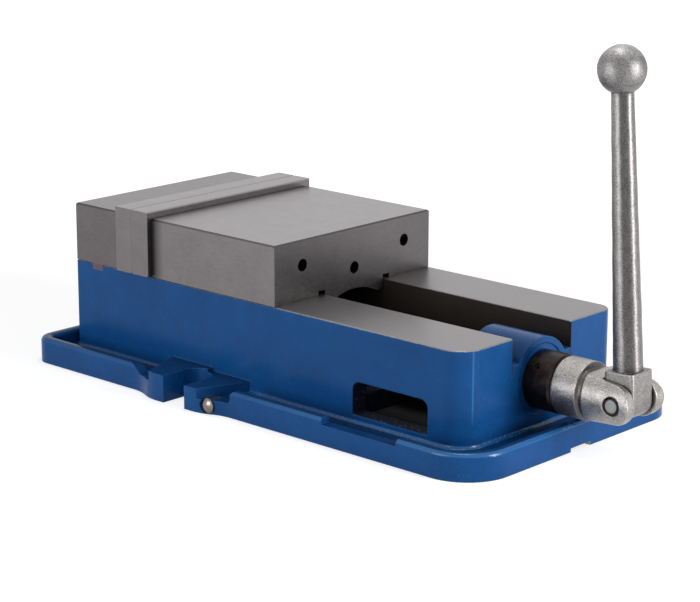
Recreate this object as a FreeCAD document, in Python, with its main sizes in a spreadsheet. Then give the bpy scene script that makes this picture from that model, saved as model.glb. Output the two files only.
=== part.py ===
import FreeCAD, Part
import math
import os
import Sketcher

# Angle lock machine vise.
# X runs along the screw towards the handle, Y across the bed and Z up.
# The origin lies on the base plane, midway between the two clamp slots.
# Lengths are in millimetres and angles in degrees.

SIZES = (
    ("bed_behind", 136.0, "bed length behind the clamp slots"),
    ("bed_ahead", 217.0, "bed length ahead of the clamp slots"),
    ("bed_width", 152.0, "width over the two rails"),
    ("bed_height", 70.5, "base plane to the ground top of the rails"),
    ("bed_near_corner", 17.0, "radius of the bed's near front corner"),
    ("bed_far_corner", 10.5, "radius of its far front corner"),
    ("bed_root", 3.0, "fillet between the bed's walls and the trough"),
    ("edge_break", 0.8, "chamfer along the ground edges"),
    ("rail_gap", 59.0, "gap between the rails"),
    ("rail_depth", 22.5, "thickness of a rail over the cavity"),
    ("side_wall", 12.0, "side wall of the bed"),
    ("rear_wall", 12.0, "rear wall of the bed"),
    ("front_wall", 26.5, "front wall that carries the screw"),
    ("front_wall_drop", 17.4, "top of the front wall below the rails"),
    ("deck_length", 48.0, "solid deck under the fixed jaw"),
    ("deck_depth", 30.5, "thickness of that deck"),
    ("cross_wall", 12.0, "cross wall in front of the deck"),
    ("rib_height", 14.0, "height of the low cross ribs"),
    ("mid_rib", 32.0, "width of the rib that carries the cross keyway"),
    ("front_rib", 10.0, "width of the rib in front of it"),
    ("front_rib_place", 95.0, "rear face of that rib ahead of the clamp slots"),
    ("flange_side", 29.5, "flange beyond the side of the bed"),
    ("flange_front", 32.0, "flange beyond the front of the bed"),
    ("flange_rear", 15.0, "flange beyond the rear of the bed"),
    ("flange_near_corner", 32.0, "near front corner radius of the flange"),
    ("flange_far_corner", 26.0, "far front corner radius of the flange"),
    ("flange_rear_corner", 13.0, "corner radius of the flange at the rear"),
    ("rim_width", 8.0, "width of the raised rim"),
    ("rim_height", 17.8, "height of the raised rim"),
    ("rim_round", 3.0, "rounding of the rim's top edges"),
    ("trough_floor", 8.0, "height of the drip trough's floor"),
    ("lug_bulge", 6.8, "clamp lug beyond the flange"),
    ("lug_reach", 46.0, "half length of the lug at its root"),
    ("lug_flat", 17.0, "half length of the lug at its face"),
    ("lug_height", 18.5, "height of the lug's rear pad"),
    ("lug_step", 2.4, "front pad below the rear pad"),
    ("lug_rear_pad", 25.0, "rear pad behind the slot's middle"),
    ("lug_front_pad", 21.0, "front pad ahead of the slot's middle"),
    ("lug_flare", 14.0, "widening of each pad towards the bed's wall"),
    ("drain_rear_start", 52.0, "start of the drain dip behind the slot"),
    ("drain_rear_floor", 12.0, "height of the rim in that dip"),
    ("drain_front_end", 49.0, "end of the drain dip ahead of the slot"),
    ("drain_front_floor", 9.5, "height of the rim in that dip"),
    ("drain_slope", 6.5, "run of that dip's bent front end"),
    ("drain_sweep", 16.0, "run of the rear dip's bent end"),
    ("clamp_slot_width", 20.0, "width of the open clamp slots"),
    ("clamp_slot_inset", 21.3, "slot's round end from the lug's face"),
    ("keyway_width", 20.0, "width of the keyways in the base"),
    ("keyway_depth", 2.5, "depth of the keyways"),
    ("window_place", 28.2, "front end of the side windows from the bed's front"),
    ("window_length", 62.5, "length of the side windows"),
    ("window_low", 13.3, "sill of the side windows"),
    ("window_height", 22.2, "height of the side windows"),
    ("window_corner", 6.0, "radius of the windows' upper corners"),
    ("screw_height", 39.0, "screw axis above the base plane"),
    ("boss_radius", 27.0, "cast boss round the screw"),
    ("boss_length", 42.0, "length of that boss"),
    ("boss_ring_radius", 22.7, "machined ring on the boss"),
    ("boss_ring_depth", 0.6, "depth of that ring"),
    ("plug_radius", 5.2, "index plug in the lug's face"),
    ("plug_place", 29.0, "index plug ahead of the clamp slot"),
    ("plug_height", 5.6, "index plug above the base plane"),
    ("plug_depth", 6.0, "plug behind the flange's side"),
    ("plug_reach", 4.0, "plug ahead of the flange's side, inside the lug"),
    ("plug_dome", 2.0, "dome of the plug outside its hole"),
    ("key_width", 10.0, "key under the fixed jaw"),
    ("key_place", 16.5, "rear face of the key from the bed's rear"),
    ("key_in_bed", 4.2, "depth of the key in the bed"),
    ("key_in_jaw", 4.0, "height of the key in the jaw"),
    ("key_end", 6.0, "length by which the jaw's groove stops short"),
    ("jaw_height", 40.5, "jaw bodies above the rails"),
    ("fixed_jaw_length", 45.0, "length of the fixed jaw"),
    ("movable_jaw_length", 117.0, "length of the movable jaw"),
    ("jaw_break", 1.0, "chamfer round the jaws' tops"),
    ("plate_thickness", 16.0, "jaw plate"),
    ("plate_width", 160.0, "width of the jaw plates"),
    ("plate_height", 44.8, "height of the jaw plates"),
    ("plate_lift", 0.5, "gap between plate and rails"),
    ("plate_break", 0.8, "chamfer round the jaw plates"),
    ("jaw_hole_spacing", 100.0, "between a jaw's two tapped holes"),
    ("jaw_hole_height", 23.5, "those holes above the rails"),
    ("plate_thread_radius", 4.25, "tapped hole of the jaws' sides"),
    ("plate_thread_depth", 25.0, "depth of those tapped holes"),
    ("rear_thread_depth", 12.5, "depth of the tapped holes in the fixed jaw's rear"),
    ("plate_hole_radius", 5.5, "clearance hole of the jaw plates"),
    ("plate_head_radius", 8.0, "head of a plate screw"),
    ("plate_head_height", 9.6, "height of that head"),
    ("plate_head_sink", 10.5, "depth of its counterbore"),
    ("plate_head_room", 0.8, "radial room round that head"),
    ("plate_key_size", 8.0, "hexagon socket of a plate screw"),
    ("plate_screw_length", 24.0, "plate screw under its head"),
    ("bolt_spacing", 68.0, "between the fixed jaw's two bolts"),
    ("bolt_place", 9.3, "bolts behind the fixed jaw's front face"),
    ("bolt_thread_radius", 5.1, "tapped hole of the fixed jaw"),
    ("bolt_thread_depth", 26.0, "depth of that tapped hole"),
    ("bolt_hole_radius", 6.6, "bolt hole through the deck"),
    ("bolt_head_radius", 9.0, "head of a jaw bolt"),
    ("bolt_head_height", 12.0, "height of that head"),
    ("bolt_key_size", 10.0, "hexagon socket of a jaw bolt"),
    ("bolt_grip", 22.0, "jaw bolt inside the jaw"),
    ("slide_clearance", 0.03, "oil film under the movable jaw"),
    ("tongue_clearance", 0.15, "tongue to rail on each side"),
    ("tongue_depth", 7.0, "tongue below the rails"),
    ("relief_width", 6.3, "relief groove beside the tongue"),
    ("relief_height", 3.0, "height of that groove"),
    ("arch_radius", 49.6, "arch that clears the screw boss"),
    ("arch_drop", 1.3, "top of the arch below the rails"),
    ("pocket_half_width", 26.0, "half width of the jaw's pocket"),
    ("pocket_front_wall", 36.0, "jaw wall in front of the pocket"),
    ("pocket_rear_wall", 17.0, "jaw wall behind the pocket"),
    ("pocket_roof", 11.0, "jaw roof over the pocket"),
    ("lock_place", 28.5, "ball centre ahead of the jaw's rear"),
    ("lock_height", 4.0, "ball centre above the rails"),
    ("ball_radius", 9.0, "half ball of the angle lock"),
    ("ball_stand", 1.0, "ball's flat above the jaw's slope"),
    ("nut_rear", 21.0, "nut's rear face ahead of the jaw's rear"),
    ("nut_room", 5.0, "room in front of the nut in the jaw's pocket"),
    ("nut_half_width", 24.0, "half width of the nut"),
    ("nut_below_axis", 20.0, "nut below the screw axis"),
    ("nut_above_axis", 21.0, "nut's shoulder above the screw axis"),
    ("nose_half_width", 22.0, "half width of the nut's nose"),
    ("nose_room", 2.5, "room over and behind the nose"),
    ("nut_round", 2.0, "rounding of the nut's long edges"),
    ("set_screw_height", 13.0, "jaw set screw above the rails"),
    ("set_screw_length", 26.0, "length of the jaw set screw"),
    ("set_screw_key", 5.0, "hexagon socket of the jaw set screw"),
    ("thread_fit", 0.05, "radial fit of screws in tapped holes"),
    ("running_fit", 0.05, "radial running clearance"),
    ("screw_radius", 15.0, "outside radius of the lead screw"),
    ("screw_tail", 14.0, "screw beyond the closed nut"),
    ("shoulder_radius", 20.0, "thrust shoulder of the screw"),
    ("shoulder_length", 8.0, "length of that shoulder"),
    ("journal_radius", 14.0, "screw journal in the front wall"),
    ("bearing_recess", 8.0, "recess for the thrust bearing"),
    ("recess_room", 2.0, "radial room round the thrust bearing"),
    ("race_thickness", 1.5, "thrust race"),
    ("race_step", 0.5, "race bore larger than the journal"),
    ("needle_radius", 1.45, "needle roller"),
    ("needle_length", 4.2, "length of a needle roller"),
    ("needle_count", 16.0, "needle rollers in the cage"),
    ("cage_thickness", 2.0, "needle cage"),
    ("needle_play", 0.05, "play round a needle"),
    ("collar_radius", 19.0, "black collar on the screw"),
    ("collar_length", 20.3, "length of the collar"),
    ("collar_gap", 0.25, "end play of the collar"),
    ("collar_break", 1.4, "chamfer of the collar"),
    ("collar_hole_radius", 2.5, "radial hole of the collar"),
    ("collar_hole_place", 8.0, "that hole from the collar's rear face"),
    ("collar_hole_angle", 50.0, "that hole from the top, to the near side"),
    ("grub_length", 4.0, "set screw in the collar"),
    ("grub_key", 2.5, "hexagon socket of the collar set screw"),
    ("hex_width", 22.0, "across flats of the screw's end"),
    ("hex_length", 28.0, "length of the hexagon"),
    ("hex_fit", 0.1, "fit of the hexagon across its flats"),
    ("socket_room", 0.5, "hexagon's end to the floor of its socket"),
    ("clevis_gap", 0.4, "collar to clevis"),
    ("barrel_radius", 18.8, "barrel of the clevis"),
    ("barrel_length", 24.0, "length of that barrel"),
    ("neck_depth", 1.4, "groove between barrel and ears"),
    ("neck_length", 1.3, "width of that groove"),
    ("ear_span_radius", 19.6, "turned outside of the ears"),
    ("ear_radius", 12.6, "round end of an ear"),
    ("ear_taper", 14.0, "slope of the ears' upper edge"),
    ("pin_place", 67.0, "pivot pin ahead of the bed's front"),
    ("pin_radius", 4.75, "pivot pin"),
    ("pin_short", 0.9, "pin's end below the ears' outside"),
    ("ring_width", 1.1, "retaining ring"),
    ("ring_thickness", 1.2, "thickness of that ring"),
    ("lever_block", 21.5, "square block of the lever"),
    ("block_play", 0.25, "block to ear on each side"),
    ("block_top", 19.0, "block above the pivot"),
    ("block_room", 1.8, "rounded foot to the clevis slot's floor"),
    ("rod_foot_radius", 9.3, "lever rod at the block"),
    ("rod_tip_radius", 7.05, "lever rod at the ball"),
    ("rod_fillet", 2.0, "fillet at the rod's foot"),
    ("ball_end_radius", 15.1, "ball on the lever"),
    ("lever_length", 200.8, "pivot to the ball's centre"),
    ("lever_lean", 3.86, "lean of the resting lever towards the jaws"),
)


class Size:
    """A size that carries its number and the sheet expression that drives it."""

    def __init__(self, number, text):
        self.number = number
        self.text = text

    def __add__(self, other):
        other = as_size(other)
        return Size(self.number + other.number, f"({self.text} + {other.text})")

    def __sub__(self, other):
        other = as_size(other)
        return Size(self.number - other.number, f"({self.text} - {other.text})")

    def __mul__(self, other):
        other = as_size(other)
        return Size(self.number * other.number, f"({self.text} * {other.text})")

    def __truediv__(self, other):
        other = as_size(other)
        return Size(self.number / other.number, f"({self.text} / {other.text})")

    def __neg__(self):
        return Size(-self.number, f"(0 - {self.text})")


def as_size(value):
    """A plain number becomes a size, and a size stays one."""
    return value if isinstance(value, Size) else Size(float(value), repr(float(value)))


def sine(angle):
    return Size(math.sin(math.radians(angle.number)), f"sin({angle.text})")


def cosine(angle):
    return Size(math.cos(math.radians(angle.number)), f"cos({angle.text})")


def root(value):
    value = as_size(value)
    return Size(math.sqrt(value.number), f"sqrt({value.text})")


doc = FreeCAD.newDocument("angle_lock_vise")
sheet = doc.addObject("Spreadsheet::Sheet", "Sizes")
for line, (alias, number, meaning) in enumerate(SIZES, start=1):
    sheet.set(f"A{line}", alias)
    sheet.set(f"B{line}", str(number))
    sheet.set(f"C{line}", meaning)
    sheet.setAlias(f"B{line}", alias)
doc.recompute()


class Sheet:
    """The sheet's cells as sizes, by alias."""

    def __getattr__(self, alias):
        return Size(float(sheet.get(alias)), f"Sizes.{alias}")


s = Sheet()

# Places along X.
BED_REAR = -s.bed_behind
BED_FRONT = s.bed_ahead
DECK_FRONT = BED_REAR + s.deck_length
CAVITY_REAR = DECK_FRONT + s.cross_wall
CAVITY_FRONT = BED_FRONT - s.front_wall
FLANGE_REAR = BED_REAR - s.flange_rear
FLANGE_FRONT = BED_FRONT + s.flange_front
FIXED_FACE = BED_REAR + s.fixed_jaw_length
PLATES_MEET = FIXED_FACE + s.plate_thickness
JAW_REAR = PLATES_MEET + s.plate_thickness
JAW_FRONT = JAW_REAR + s.movable_jaw_length
BOSS_REAR = BED_FRONT - s.boss_length
RECESS_FLOOR = BOSS_REAR + s.bearing_recess
NEEDLE_MIDDLE = RECESS_FLOOR - s.race_thickness - s.needle_radius - s.needle_play
SHOULDER_FRONT = NEEDLE_MIDDLE - s.needle_radius - s.needle_play - s.race_thickness
COLLAR_REAR = BED_FRONT - s.boss_ring_depth + s.collar_gap
COLLAR_FRONT = COLLAR_REAR + s.collar_length
CLEVIS_REAR = COLLAR_FRONT + s.clevis_gap
PIN_X = BED_FRONT + s.pin_place
NUT_REAR = JAW_REAR + s.nut_rear
POCKET_REAR = JAW_REAR + s.pocket_rear_wall
POCKET_FRONT = JAW_FRONT - s.pocket_front_wall
NUT_FRONT = POCKET_FRONT - s.nut_room
NUT_LENGTH = NUT_FRONT - NUT_REAR

# Places across Y, each a half width.
HALF_BED = s.bed_width / 2
HALF_GAP = s.rail_gap / 2
HALF_CAVITY = HALF_BED - s.side_wall
HALF_FLANGE = HALF_BED + s.flange_side
HALF_LUG = HALF_FLANGE + s.lug_bulge
HALF_SLOT = s.clamp_slot_width / 2
HALF_KEYWAY = s.keyway_width / 2
HALF_PLATE = s.plate_width / 2
HALF_BLOCK = s.lever_block / 2
HALF_FORK = HALF_BLOCK + s.block_play

# Heights.
RAIL_TOP = s.bed_height
RAIL_UNDER = RAIL_TOP - s.rail_depth
DECK_UNDER = RAIL_TOP - s.deck_depth
FRONT_WALL_TOP = RAIL_TOP - s.front_wall_drop
JAW_TOP = RAIL_TOP + s.jaw_height
JAW_UNDER = RAIL_TOP + s.slide_clearance
AXIS = s.screw_height

OUT = 30.0  # how far a cutter runs past a face
CLOSE = 0.01  # how near a point lies to a face that it is on


def bind(thing, name, size):
    """Tie a property to the sheet."""
    thing.setExpression(name, as_size(size).text)


def new_body(label, x=0, y=0, z=0):
    """A body whose place is tied to the sheet."""
    body = doc.addObject("PartDesign::Body", label)
    body.Label = label
    bind(body, "Placement.Base.x", x)
    bind(body, "Placement.Base.y", y)
    bind(body, "Placement.Base.z", z)
    return body


def new_sketch(body, name, role, start=0):
    """A sketch on one of the body's own planes, moved along its normal."""
    plane = next(f for f in body.Origin.OriginFeatures if f.Role == role)
    sketch = body.newObject("Sketcher::SketchObject", name)
    sketch.AttachmentSupport = [(plane, "")]
    sketch.MapMode = "FlatFace"
    bind(sketch, "AttachmentOffset.Base.z", start)
    return sketch


def place(sketch, curve, point, x, y):
    """Hold a point of a curve at a place measured from the sketch's origin."""
    for kind, size in (("DistanceX", as_size(x)), ("DistanceY", as_size(y))):
        rule = Sketcher.Constraint(kind, -1, 1, curve, point, size.number)
        number = sketch.addConstraint(rule)
        sketch.setExpression(f"Constraints[{number}]", size.text)


def outline(sketch, corners):
    """Draw a closed outline. A corner is (x, y), and (x, y, cx, cy, r) starts an arc about cx, cy."""
    marks = []
    for index, corner in enumerate(corners):
        here = [as_size(v) for v in corner]
        there = [as_size(v) for v in corners[(index + 1) % len(corners)]]
        start = FreeCAD.Vector(here[0].number, here[1].number, 0)
        end = FreeCAD.Vector(there[0].number, there[1].number, 0)
        if len(here) == 2:
            curve = sketch.addGeometry(Part.LineSegment(start, end))
            marks.append((curve, 1, 2))
            continue
        centre = FreeCAD.Vector(here[2].number, here[3].number, 0)
        turn = (start - centre).cross(end - centre).z
        first, last = (start, end) if turn > 0 else (end, start)
        angles = [math.atan2((p - centre).y, (p - centre).x) for p in (first, last)]
        circle = Part.Circle(centre, FreeCAD.Vector(0, 0, 1), here[4].number)
        curve = sketch.addGeometry(Part.ArcOfCircle(circle, *angles))
        marks.append((curve, 1, 2) if turn > 0 else (curve, 2, 1))
        number = sketch.addConstraint(Sketcher.Constraint("Radius", curve, here[4].number))
        sketch.setExpression(f"Constraints[{number}]", here[4].text)
    for index, (curve, _, tail) in enumerate(marks):
        follower, head, _ = marks[(index + 1) % len(marks)]
        sketch.addConstraint(Sketcher.Constraint("Coincident", curve, tail, follower, head))
    for (curve, head, _), corner in zip(marks, corners):
        place(sketch, curve, head, corner[0], corner[1])


def rectangle(sketch, left, right, low, high):
    outline(sketch, [(left, low), (right, low), (right, high), (left, high)])


def circle(sketch, x, y, radius):
    """Draw a circle whose centre and radius are tied to the sheet."""
    centre = FreeCAD.Vector(as_size(x).number, as_size(y).number, 0)
    curve = sketch.addGeometry(Part.Circle(centre, FreeCAD.Vector(0, 0, 1), radius.number))
    number = sketch.addConstraint(Sketcher.Constraint("Radius", curve, radius.number))
    sketch.setExpression(f"Constraints[{number}]", radius.text)
    place(sketch, curve, 3, x, y)


def pad(body, sketch, name, length):
    feature = body.newObject("PartDesign::Pad", name)
    feature.Profile = sketch
    bind(feature, "Length", length)
    return feature


def pocket(body, sketch, name, length):
    """Cut along the sketch's normal."""
    feature = body.newObject("PartDesign::Pocket", name)
    feature.Profile = sketch
    feature.Reversed = True
    bind(feature, "Length", length)
    return feature


def turned(body, name, corners, plane="XZ_Plane", axis="H_Axis"):
    """Turn an outline, along the axis and out from it, a full turn about a sketch's axis."""
    sketch = new_sketch(body, f"{name}_profile", plane)
    outline(sketch, corners)
    feature = body.newObject("PartDesign::Revolution", name)
    feature.Profile = sketch
    feature.ReferenceAxis = (sketch, [axis])
    feature.Angle = 360.0


def edges_where(feature, test):
    """Names of the edges whose middle, and direction if straight, pass a test."""
    doc.recompute()
    names = []
    for number, edge in enumerate(feature.Shape.Edges, start=1):
        middle = edge.valueAt((edge.FirstParameter + edge.LastParameter) / 2)
        if test(edge, middle):
            names.append(f"Edge{number}")
    return names


def near(one, other):
    return abs(one - as_size(other).number) < CLOSE


def between(value, low, high):
    return as_size(low).number - CLOSE < value < as_size(high).number + CLOSE


def upright(edge):
    """Is the edge straight and parallel to Z?"""
    return isinstance(edge.Curve, Part.Line) and abs(edge.Curve.Direction.z) > 0.999


def fillet(body, feature, name, radius, test):
    rounding = body.newObject("PartDesign::Fillet", name)
    rounding.Base = (feature, edges_where(feature, test))
    bind(rounding, "Radius", radius)
    return rounding


def chamfer(body, feature, name, size, test):
    bevel = body.newObject("PartDesign::Chamfer", name)
    bevel.Base = (feature, edges_where(feature, test))
    bind(bevel, "Size", size)
    return bevel


TURNS = {
    "+X": FreeCAD.Rotation(FreeCAD.Vector(0, 1, 0), 90),
    "-X": FreeCAD.Rotation(FreeCAD.Vector(0, 1, 0), -90),
    "+Y": FreeCAD.Rotation(FreeCAD.Vector(1, 0, 0), -90),
    "-Y": FreeCAD.Rotation(FreeCAD.Vector(1, 0, 0), 90),
    "+Z": FreeCAD.Rotation(),
}


def seat(thing, way, x, y, z):
    """Turn a primitive's axis and tie its place to the sheet."""
    thing.Placement = FreeCAD.Placement(FreeCAD.Vector(0, 0, 0), TURNS[way])
    bind(thing, "Placement.Base.x", x)
    bind(thing, "Placement.Base.y", y)
    bind(thing, "Placement.Base.z", z)
    return thing


def rod(name, way, radius, length, x, y, z):
    """A cylinder that starts at a point and runs one way."""
    cylinder = doc.addObject("Part::Cylinder", name)
    bind(cylinder, "Radius", radius)
    bind(cylinder, "Height", length)
    return seat(cylinder, way, x, y, z)


def hexagon(name, way, across, length, x, y, z):
    """A hexagonal bar, given across its flats."""
    bar = doc.addObject("Part::Prism", name)
    bar.Polygon = 6
    bind(bar, "Circumradius", across / root(3))
    bind(bar, "Height", length)
    return seat(bar, way, x, y, z)


def cut(label, base, tool):
    result = doc.addObject("Part::Cut", label)
    result.Base = base
    result.Tool = tool
    result.Label = label
    return result


def fuse(label, pieces):
    result = doc.addObject("Part::MultiFuse", label)
    result.Shapes = pieces
    result.Label = label
    return result


def mirrored_pair(label, piece):
    """A piece and its mirror image across the vise's middle, as two solids."""
    image = doc.addObject("Part::Mirroring", f"{label}_far")
    image.Source = piece
    image.Normal = FreeCAD.Vector(0, 1, 0)
    pair = doc.addObject("Part::Compound", label)
    pair.Links = [piece, image]
    pair.Label = label
    return pair


def cap_screws(label, way, head, head_length, shank, shank_length, key, x, y, z):
    """Two socket head screws. The point is on the seat of the head, and way is where the shank goes."""
    head_x, head_z = x, z
    if way == "+Z":
        head_z = z - head_length
    else:
        head_x = x + (head_length if way == "-X" else -head_length)
    top = rod(f"{label}_head", way, head, head_length, head_x, y, head_z)
    bar = rod(f"{label}_shank", way, shank, shank_length, x, y, z)
    whole = fuse(f"{label}_blank", [top, bar])
    socket = hexagon(f"{label}_socket", way, key, head_length / 2, head_x, y, head_z)
    return mirrored_pair(label, cut(f"{label}_near", whole, socket))


def bend_radius(run, rise):
    """Radius of the two equal arcs that step sideways by rise over run and meet on a tangent."""
    return (run * run + rise * rise) / (rise * 4)


# The lug's sides flow out of the flange in two equal arcs.
LUG_SWEEP = bend_radius(s.lug_reach - s.lug_flat, s.lug_bulge)


def flange(body):
    """Base flange with its rounded corners and flowing clamp lugs."""
    sketch = new_sketch(body, "flange_plan", "XY_Plane")
    middle_x = (s.lug_reach + s.lug_flat) / 2
    middle_y = (HALF_FLANGE + HALF_LUG) / 2
    root_y = HALF_FLANGE + LUG_SWEEP
    crest_y = HALF_LUG - LUG_SWEEP
    outline(
        sketch,
        [
            (FLANGE_REAR, -HALF_FLANGE),
            (-s.lug_reach, -HALF_FLANGE, -s.lug_reach, -root_y, LUG_SWEEP),
            (-middle_x, -middle_y, -s.lug_flat, -crest_y, LUG_SWEEP),
            (-s.lug_flat, -HALF_LUG),
            (s.lug_flat, -HALF_LUG, s.lug_flat, -crest_y, LUG_SWEEP),
            (middle_x, -middle_y, s.lug_reach, -root_y, LUG_SWEEP),
            (s.lug_reach, -HALF_FLANGE),
            (FLANGE_FRONT, -HALF_FLANGE),
            (FLANGE_FRONT, HALF_FLANGE),
            (s.lug_reach, HALF_FLANGE, s.lug_reach, root_y, LUG_SWEEP),
            (middle_x, middle_y, s.lug_flat, crest_y, LUG_SWEEP),
            (s.lug_flat, HALF_LUG),
            (-s.lug_flat, HALF_LUG, -s.lug_flat, crest_y, LUG_SWEEP),
            (-middle_x, middle_y, -s.lug_reach, root_y, LUG_SWEEP),
            (-s.lug_reach, HALF_FLANGE),
            (FLANGE_REAR, HALF_FLANGE),
        ],
    )
    plate = pad(body, sketch, "flange", s.rim_height)

    def corner_at(x, *sides):
        def test(edge, middle):
            return upright(edge) and near(middle.x, x) and any(near(middle.y, y) for y in sides)

        return test

    near_corner = corner_at(FLANGE_FRONT, -HALF_FLANGE)
    far_corner = corner_at(FLANGE_FRONT, HALF_FLANGE)
    rear_corners = corner_at(FLANGE_REAR, -HALF_FLANGE, HALF_FLANGE)
    plate = fillet(body, plate, "near_corner", s.flange_near_corner, near_corner)
    plate = fillet(body, plate, "far_corner", s.flange_far_corner, far_corner)
    fillet(body, plate, "rear_corners", s.flange_rear_corner, rear_corners)


def trough(body):
    """Drip trough between the rim and the bed, with the rim's rounded edges."""
    near_bend = s.flange_near_corner - s.rim_width
    far_bend = s.flange_far_corner - s.rim_width
    rear_bend = s.flange_rear_corner - s.rim_width
    rear = FLANGE_REAR + s.rim_width
    front = FLANGE_FRONT - s.rim_width
    side = HALF_FLANGE - s.rim_width
    near_x = front - near_bend
    near_y = near_bend - side
    far_x = front - far_bend
    far_y = side - far_bend
    rear_x = rear + rear_bend
    rear_y = side - rear_bend
    sketch = new_sketch(body, "trough_plan", "XY_Plane", s.trough_floor)
    outline(
        sketch,
        [
            (rear_x, -side),
            (near_x, -side, near_x, near_y, near_bend),
            (front, near_y),
            (front, far_y, far_x, far_y, far_bend),
            (far_x, side),
            (rear_x, side, rear_x, rear_y, rear_bend),
            (rear, rear_y),
            (rear, -rear_y, rear_x, -rear_y, rear_bend),
        ],
    )
    sunk = pocket(body, sketch, "trough", s.rim_height)

    def rim_edge(edge, middle):
        return near(middle.z, s.rim_height)

    fillet(body, sunk, "rim_rounds", s.rim_round, rim_edge)


def drain_dips(body):
    """Dips in the rim that drain the trough."""
    sketch = new_sketch(body, "drain_profile", "XZ_Plane", -HALF_LUG - OUT)
    top = s.rim_height
    rear_high = -s.drain_rear_start
    rear_low = rear_high + s.drain_sweep
    rear_floor = s.drain_rear_floor
    rear_bend = bend_radius(s.drain_sweep, top - rear_floor)
    front_high = s.drain_front_end
    front_low = front_high - s.drain_slope
    front_floor = s.drain_front_floor
    front_bend = bend_radius(s.drain_slope, top - front_floor)
    rear_middle = ((rear_high + rear_low) / 2, (top + rear_floor) / 2)
    front_middle = ((front_high + front_low) / 2, (top + front_floor) / 2)
    outline(
        sketch,
        [
            (rear_high, top, rear_high, top - rear_bend, rear_bend),
            (*rear_middle, rear_low, rear_floor + rear_bend, rear_bend),
            (rear_low, rear_floor),
            (0, rear_floor),
            (0, front_floor),
            (front_low, front_floor, front_low, front_floor + front_bend, front_bend),
            (*front_middle, front_high, top - front_bend, front_bend),
            (front_high, top),
            (front_high, top + OUT),
            (rear_high, top + OUT),
        ],
    )
    pocket(body, sketch, "drain_dips", (HALF_LUG + OUT) * 2)


def lug_pads(body):
    """Raised pads beside the clamp slots, which widen from the lugs' faces to the bed's walls."""
    crest_y = HALF_LUG - LUG_SWEEP
    for name, sign, reach, height in (
        ("rear_pad", -1, s.lug_rear_pad, s.lug_height),
        ("front_pad", 1, s.lug_front_pad, s.lug_height - s.lug_step),
    ):
        past = reach - s.lug_flat
        edge_y = crest_y + root(LUG_SWEEP * LUG_SWEEP - past * past)
        flat_x = s.lug_flat * sign
        wall_x = (reach + s.lug_flare) * sign
        sketch = new_sketch(body, f"{name}_plan", "XY_Plane", s.trough_floor)
        outline(
            sketch,
            [
                (0, -HALF_LUG),
                (flat_x, -HALF_LUG, flat_x, -crest_y, LUG_SWEEP),
                (reach * sign, -edge_y),
                (wall_x, -HALF_BED),
                (wall_x, HALF_BED),
                (reach * sign, edge_y, flat_x, crest_y, LUG_SWEEP),
                (flat_x, HALF_LUG),
                (0, HALF_LUG),
            ],
        )
        pad(body, sketch, name, height - s.trough_floor)


def bed_block(body):
    """Bed with its rails, cavity, ribs, cross wall and slot."""
    sketch = new_sketch(body, "bed_plan", "XY_Plane")
    rectangle(sketch, BED_REAR, BED_FRONT, -HALF_BED, HALF_BED)
    block = pad(body, sketch, "bed", RAIL_TOP)

    def near_corner(edge, middle):
        return upright(edge) and near(middle.x, BED_FRONT) and near(middle.y, -HALF_BED)

    def far_corner(edge, middle):
        return upright(edge) and near(middle.x, BED_FRONT) and near(middle.y, HALF_BED)

    block = fillet(body, block, "bed_near_corner", s.bed_near_corner, near_corner)
    block = fillet(body, block, "bed_far_corner", s.bed_far_corner, far_corner)

    def top_edge(edge, middle):
        return near(middle.z, RAIL_TOP)

    block = chamfer(body, block, "rail_edges", s.edge_break, top_edge)

    def root_edge(edge, middle):
        by_the_bed = between(middle.x, BED_REAR, BED_FRONT) and between(middle.y, -HALF_BED, HALF_BED)
        return near(middle.z, s.trough_floor) and by_the_bed

    fillet(body, block, "bed_roots", s.bed_root, root_edge)
    lug_pads(body)

    def well(name, left, right, half_width, low, high):
        sketch = new_sketch(body, f"{name}_plan", "XY_Plane", low)
        rectangle(sketch, left, right, -half_width, half_width)
        pocket(body, sketch, name, high - low)

    half_rib = s.mid_rib / 2
    rib_front = s.front_rib_place + s.front_rib
    well("rear_bay", BED_REAR + s.rear_wall, DECK_FRONT, HALF_CAVITY, 0, DECK_UNDER)
    well("cavity", CAVITY_REAR, CAVITY_FRONT, HALF_CAVITY, s.rib_height, RAIL_UNDER)
    well("bay_1", CAVITY_REAR, -half_rib, HALF_CAVITY, 0, s.rib_height)
    well("bay_2", half_rib, s.front_rib_place, HALF_CAVITY, 0, s.rib_height)
    well("bay_3", rib_front, CAVITY_FRONT, HALF_CAVITY, 0, s.rib_height)
    well("rail_slot", DECK_FRONT, CAVITY_FRONT, HALF_GAP, RAIL_UNDER, RAIL_TOP + OUT)
    well("mouth", CAVITY_FRONT, BED_FRONT + OUT, HALF_GAP, FRONT_WALL_TOP, RAIL_TOP + OUT)


def screw_housing(body):
    """Cast boss in the front wall with its bore, bearing recess and machined ring."""
    for name, start, radius, length in (
        ("screw_boss", BOSS_REAR, s.boss_radius, s.boss_length),
        ("journal_bore", BOSS_REAR - OUT, s.journal_radius + s.running_fit, s.boss_length + OUT * 2),
        ("bearing_recess", BOSS_REAR - OUT, s.shoulder_radius + s.recess_room, s.bearing_recess + OUT),
        ("boss_ring", BED_FRONT - s.boss_ring_depth, s.boss_ring_radius, s.boss_ring_depth + OUT),
    ):
        sketch = new_sketch(body, f"{name}_circle", "YZ_Plane", start)
        circle(sketch, 0, AXIS, radius)
        make = pad if name == "screw_boss" else pocket
        make(body, sketch, name, length)


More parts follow.
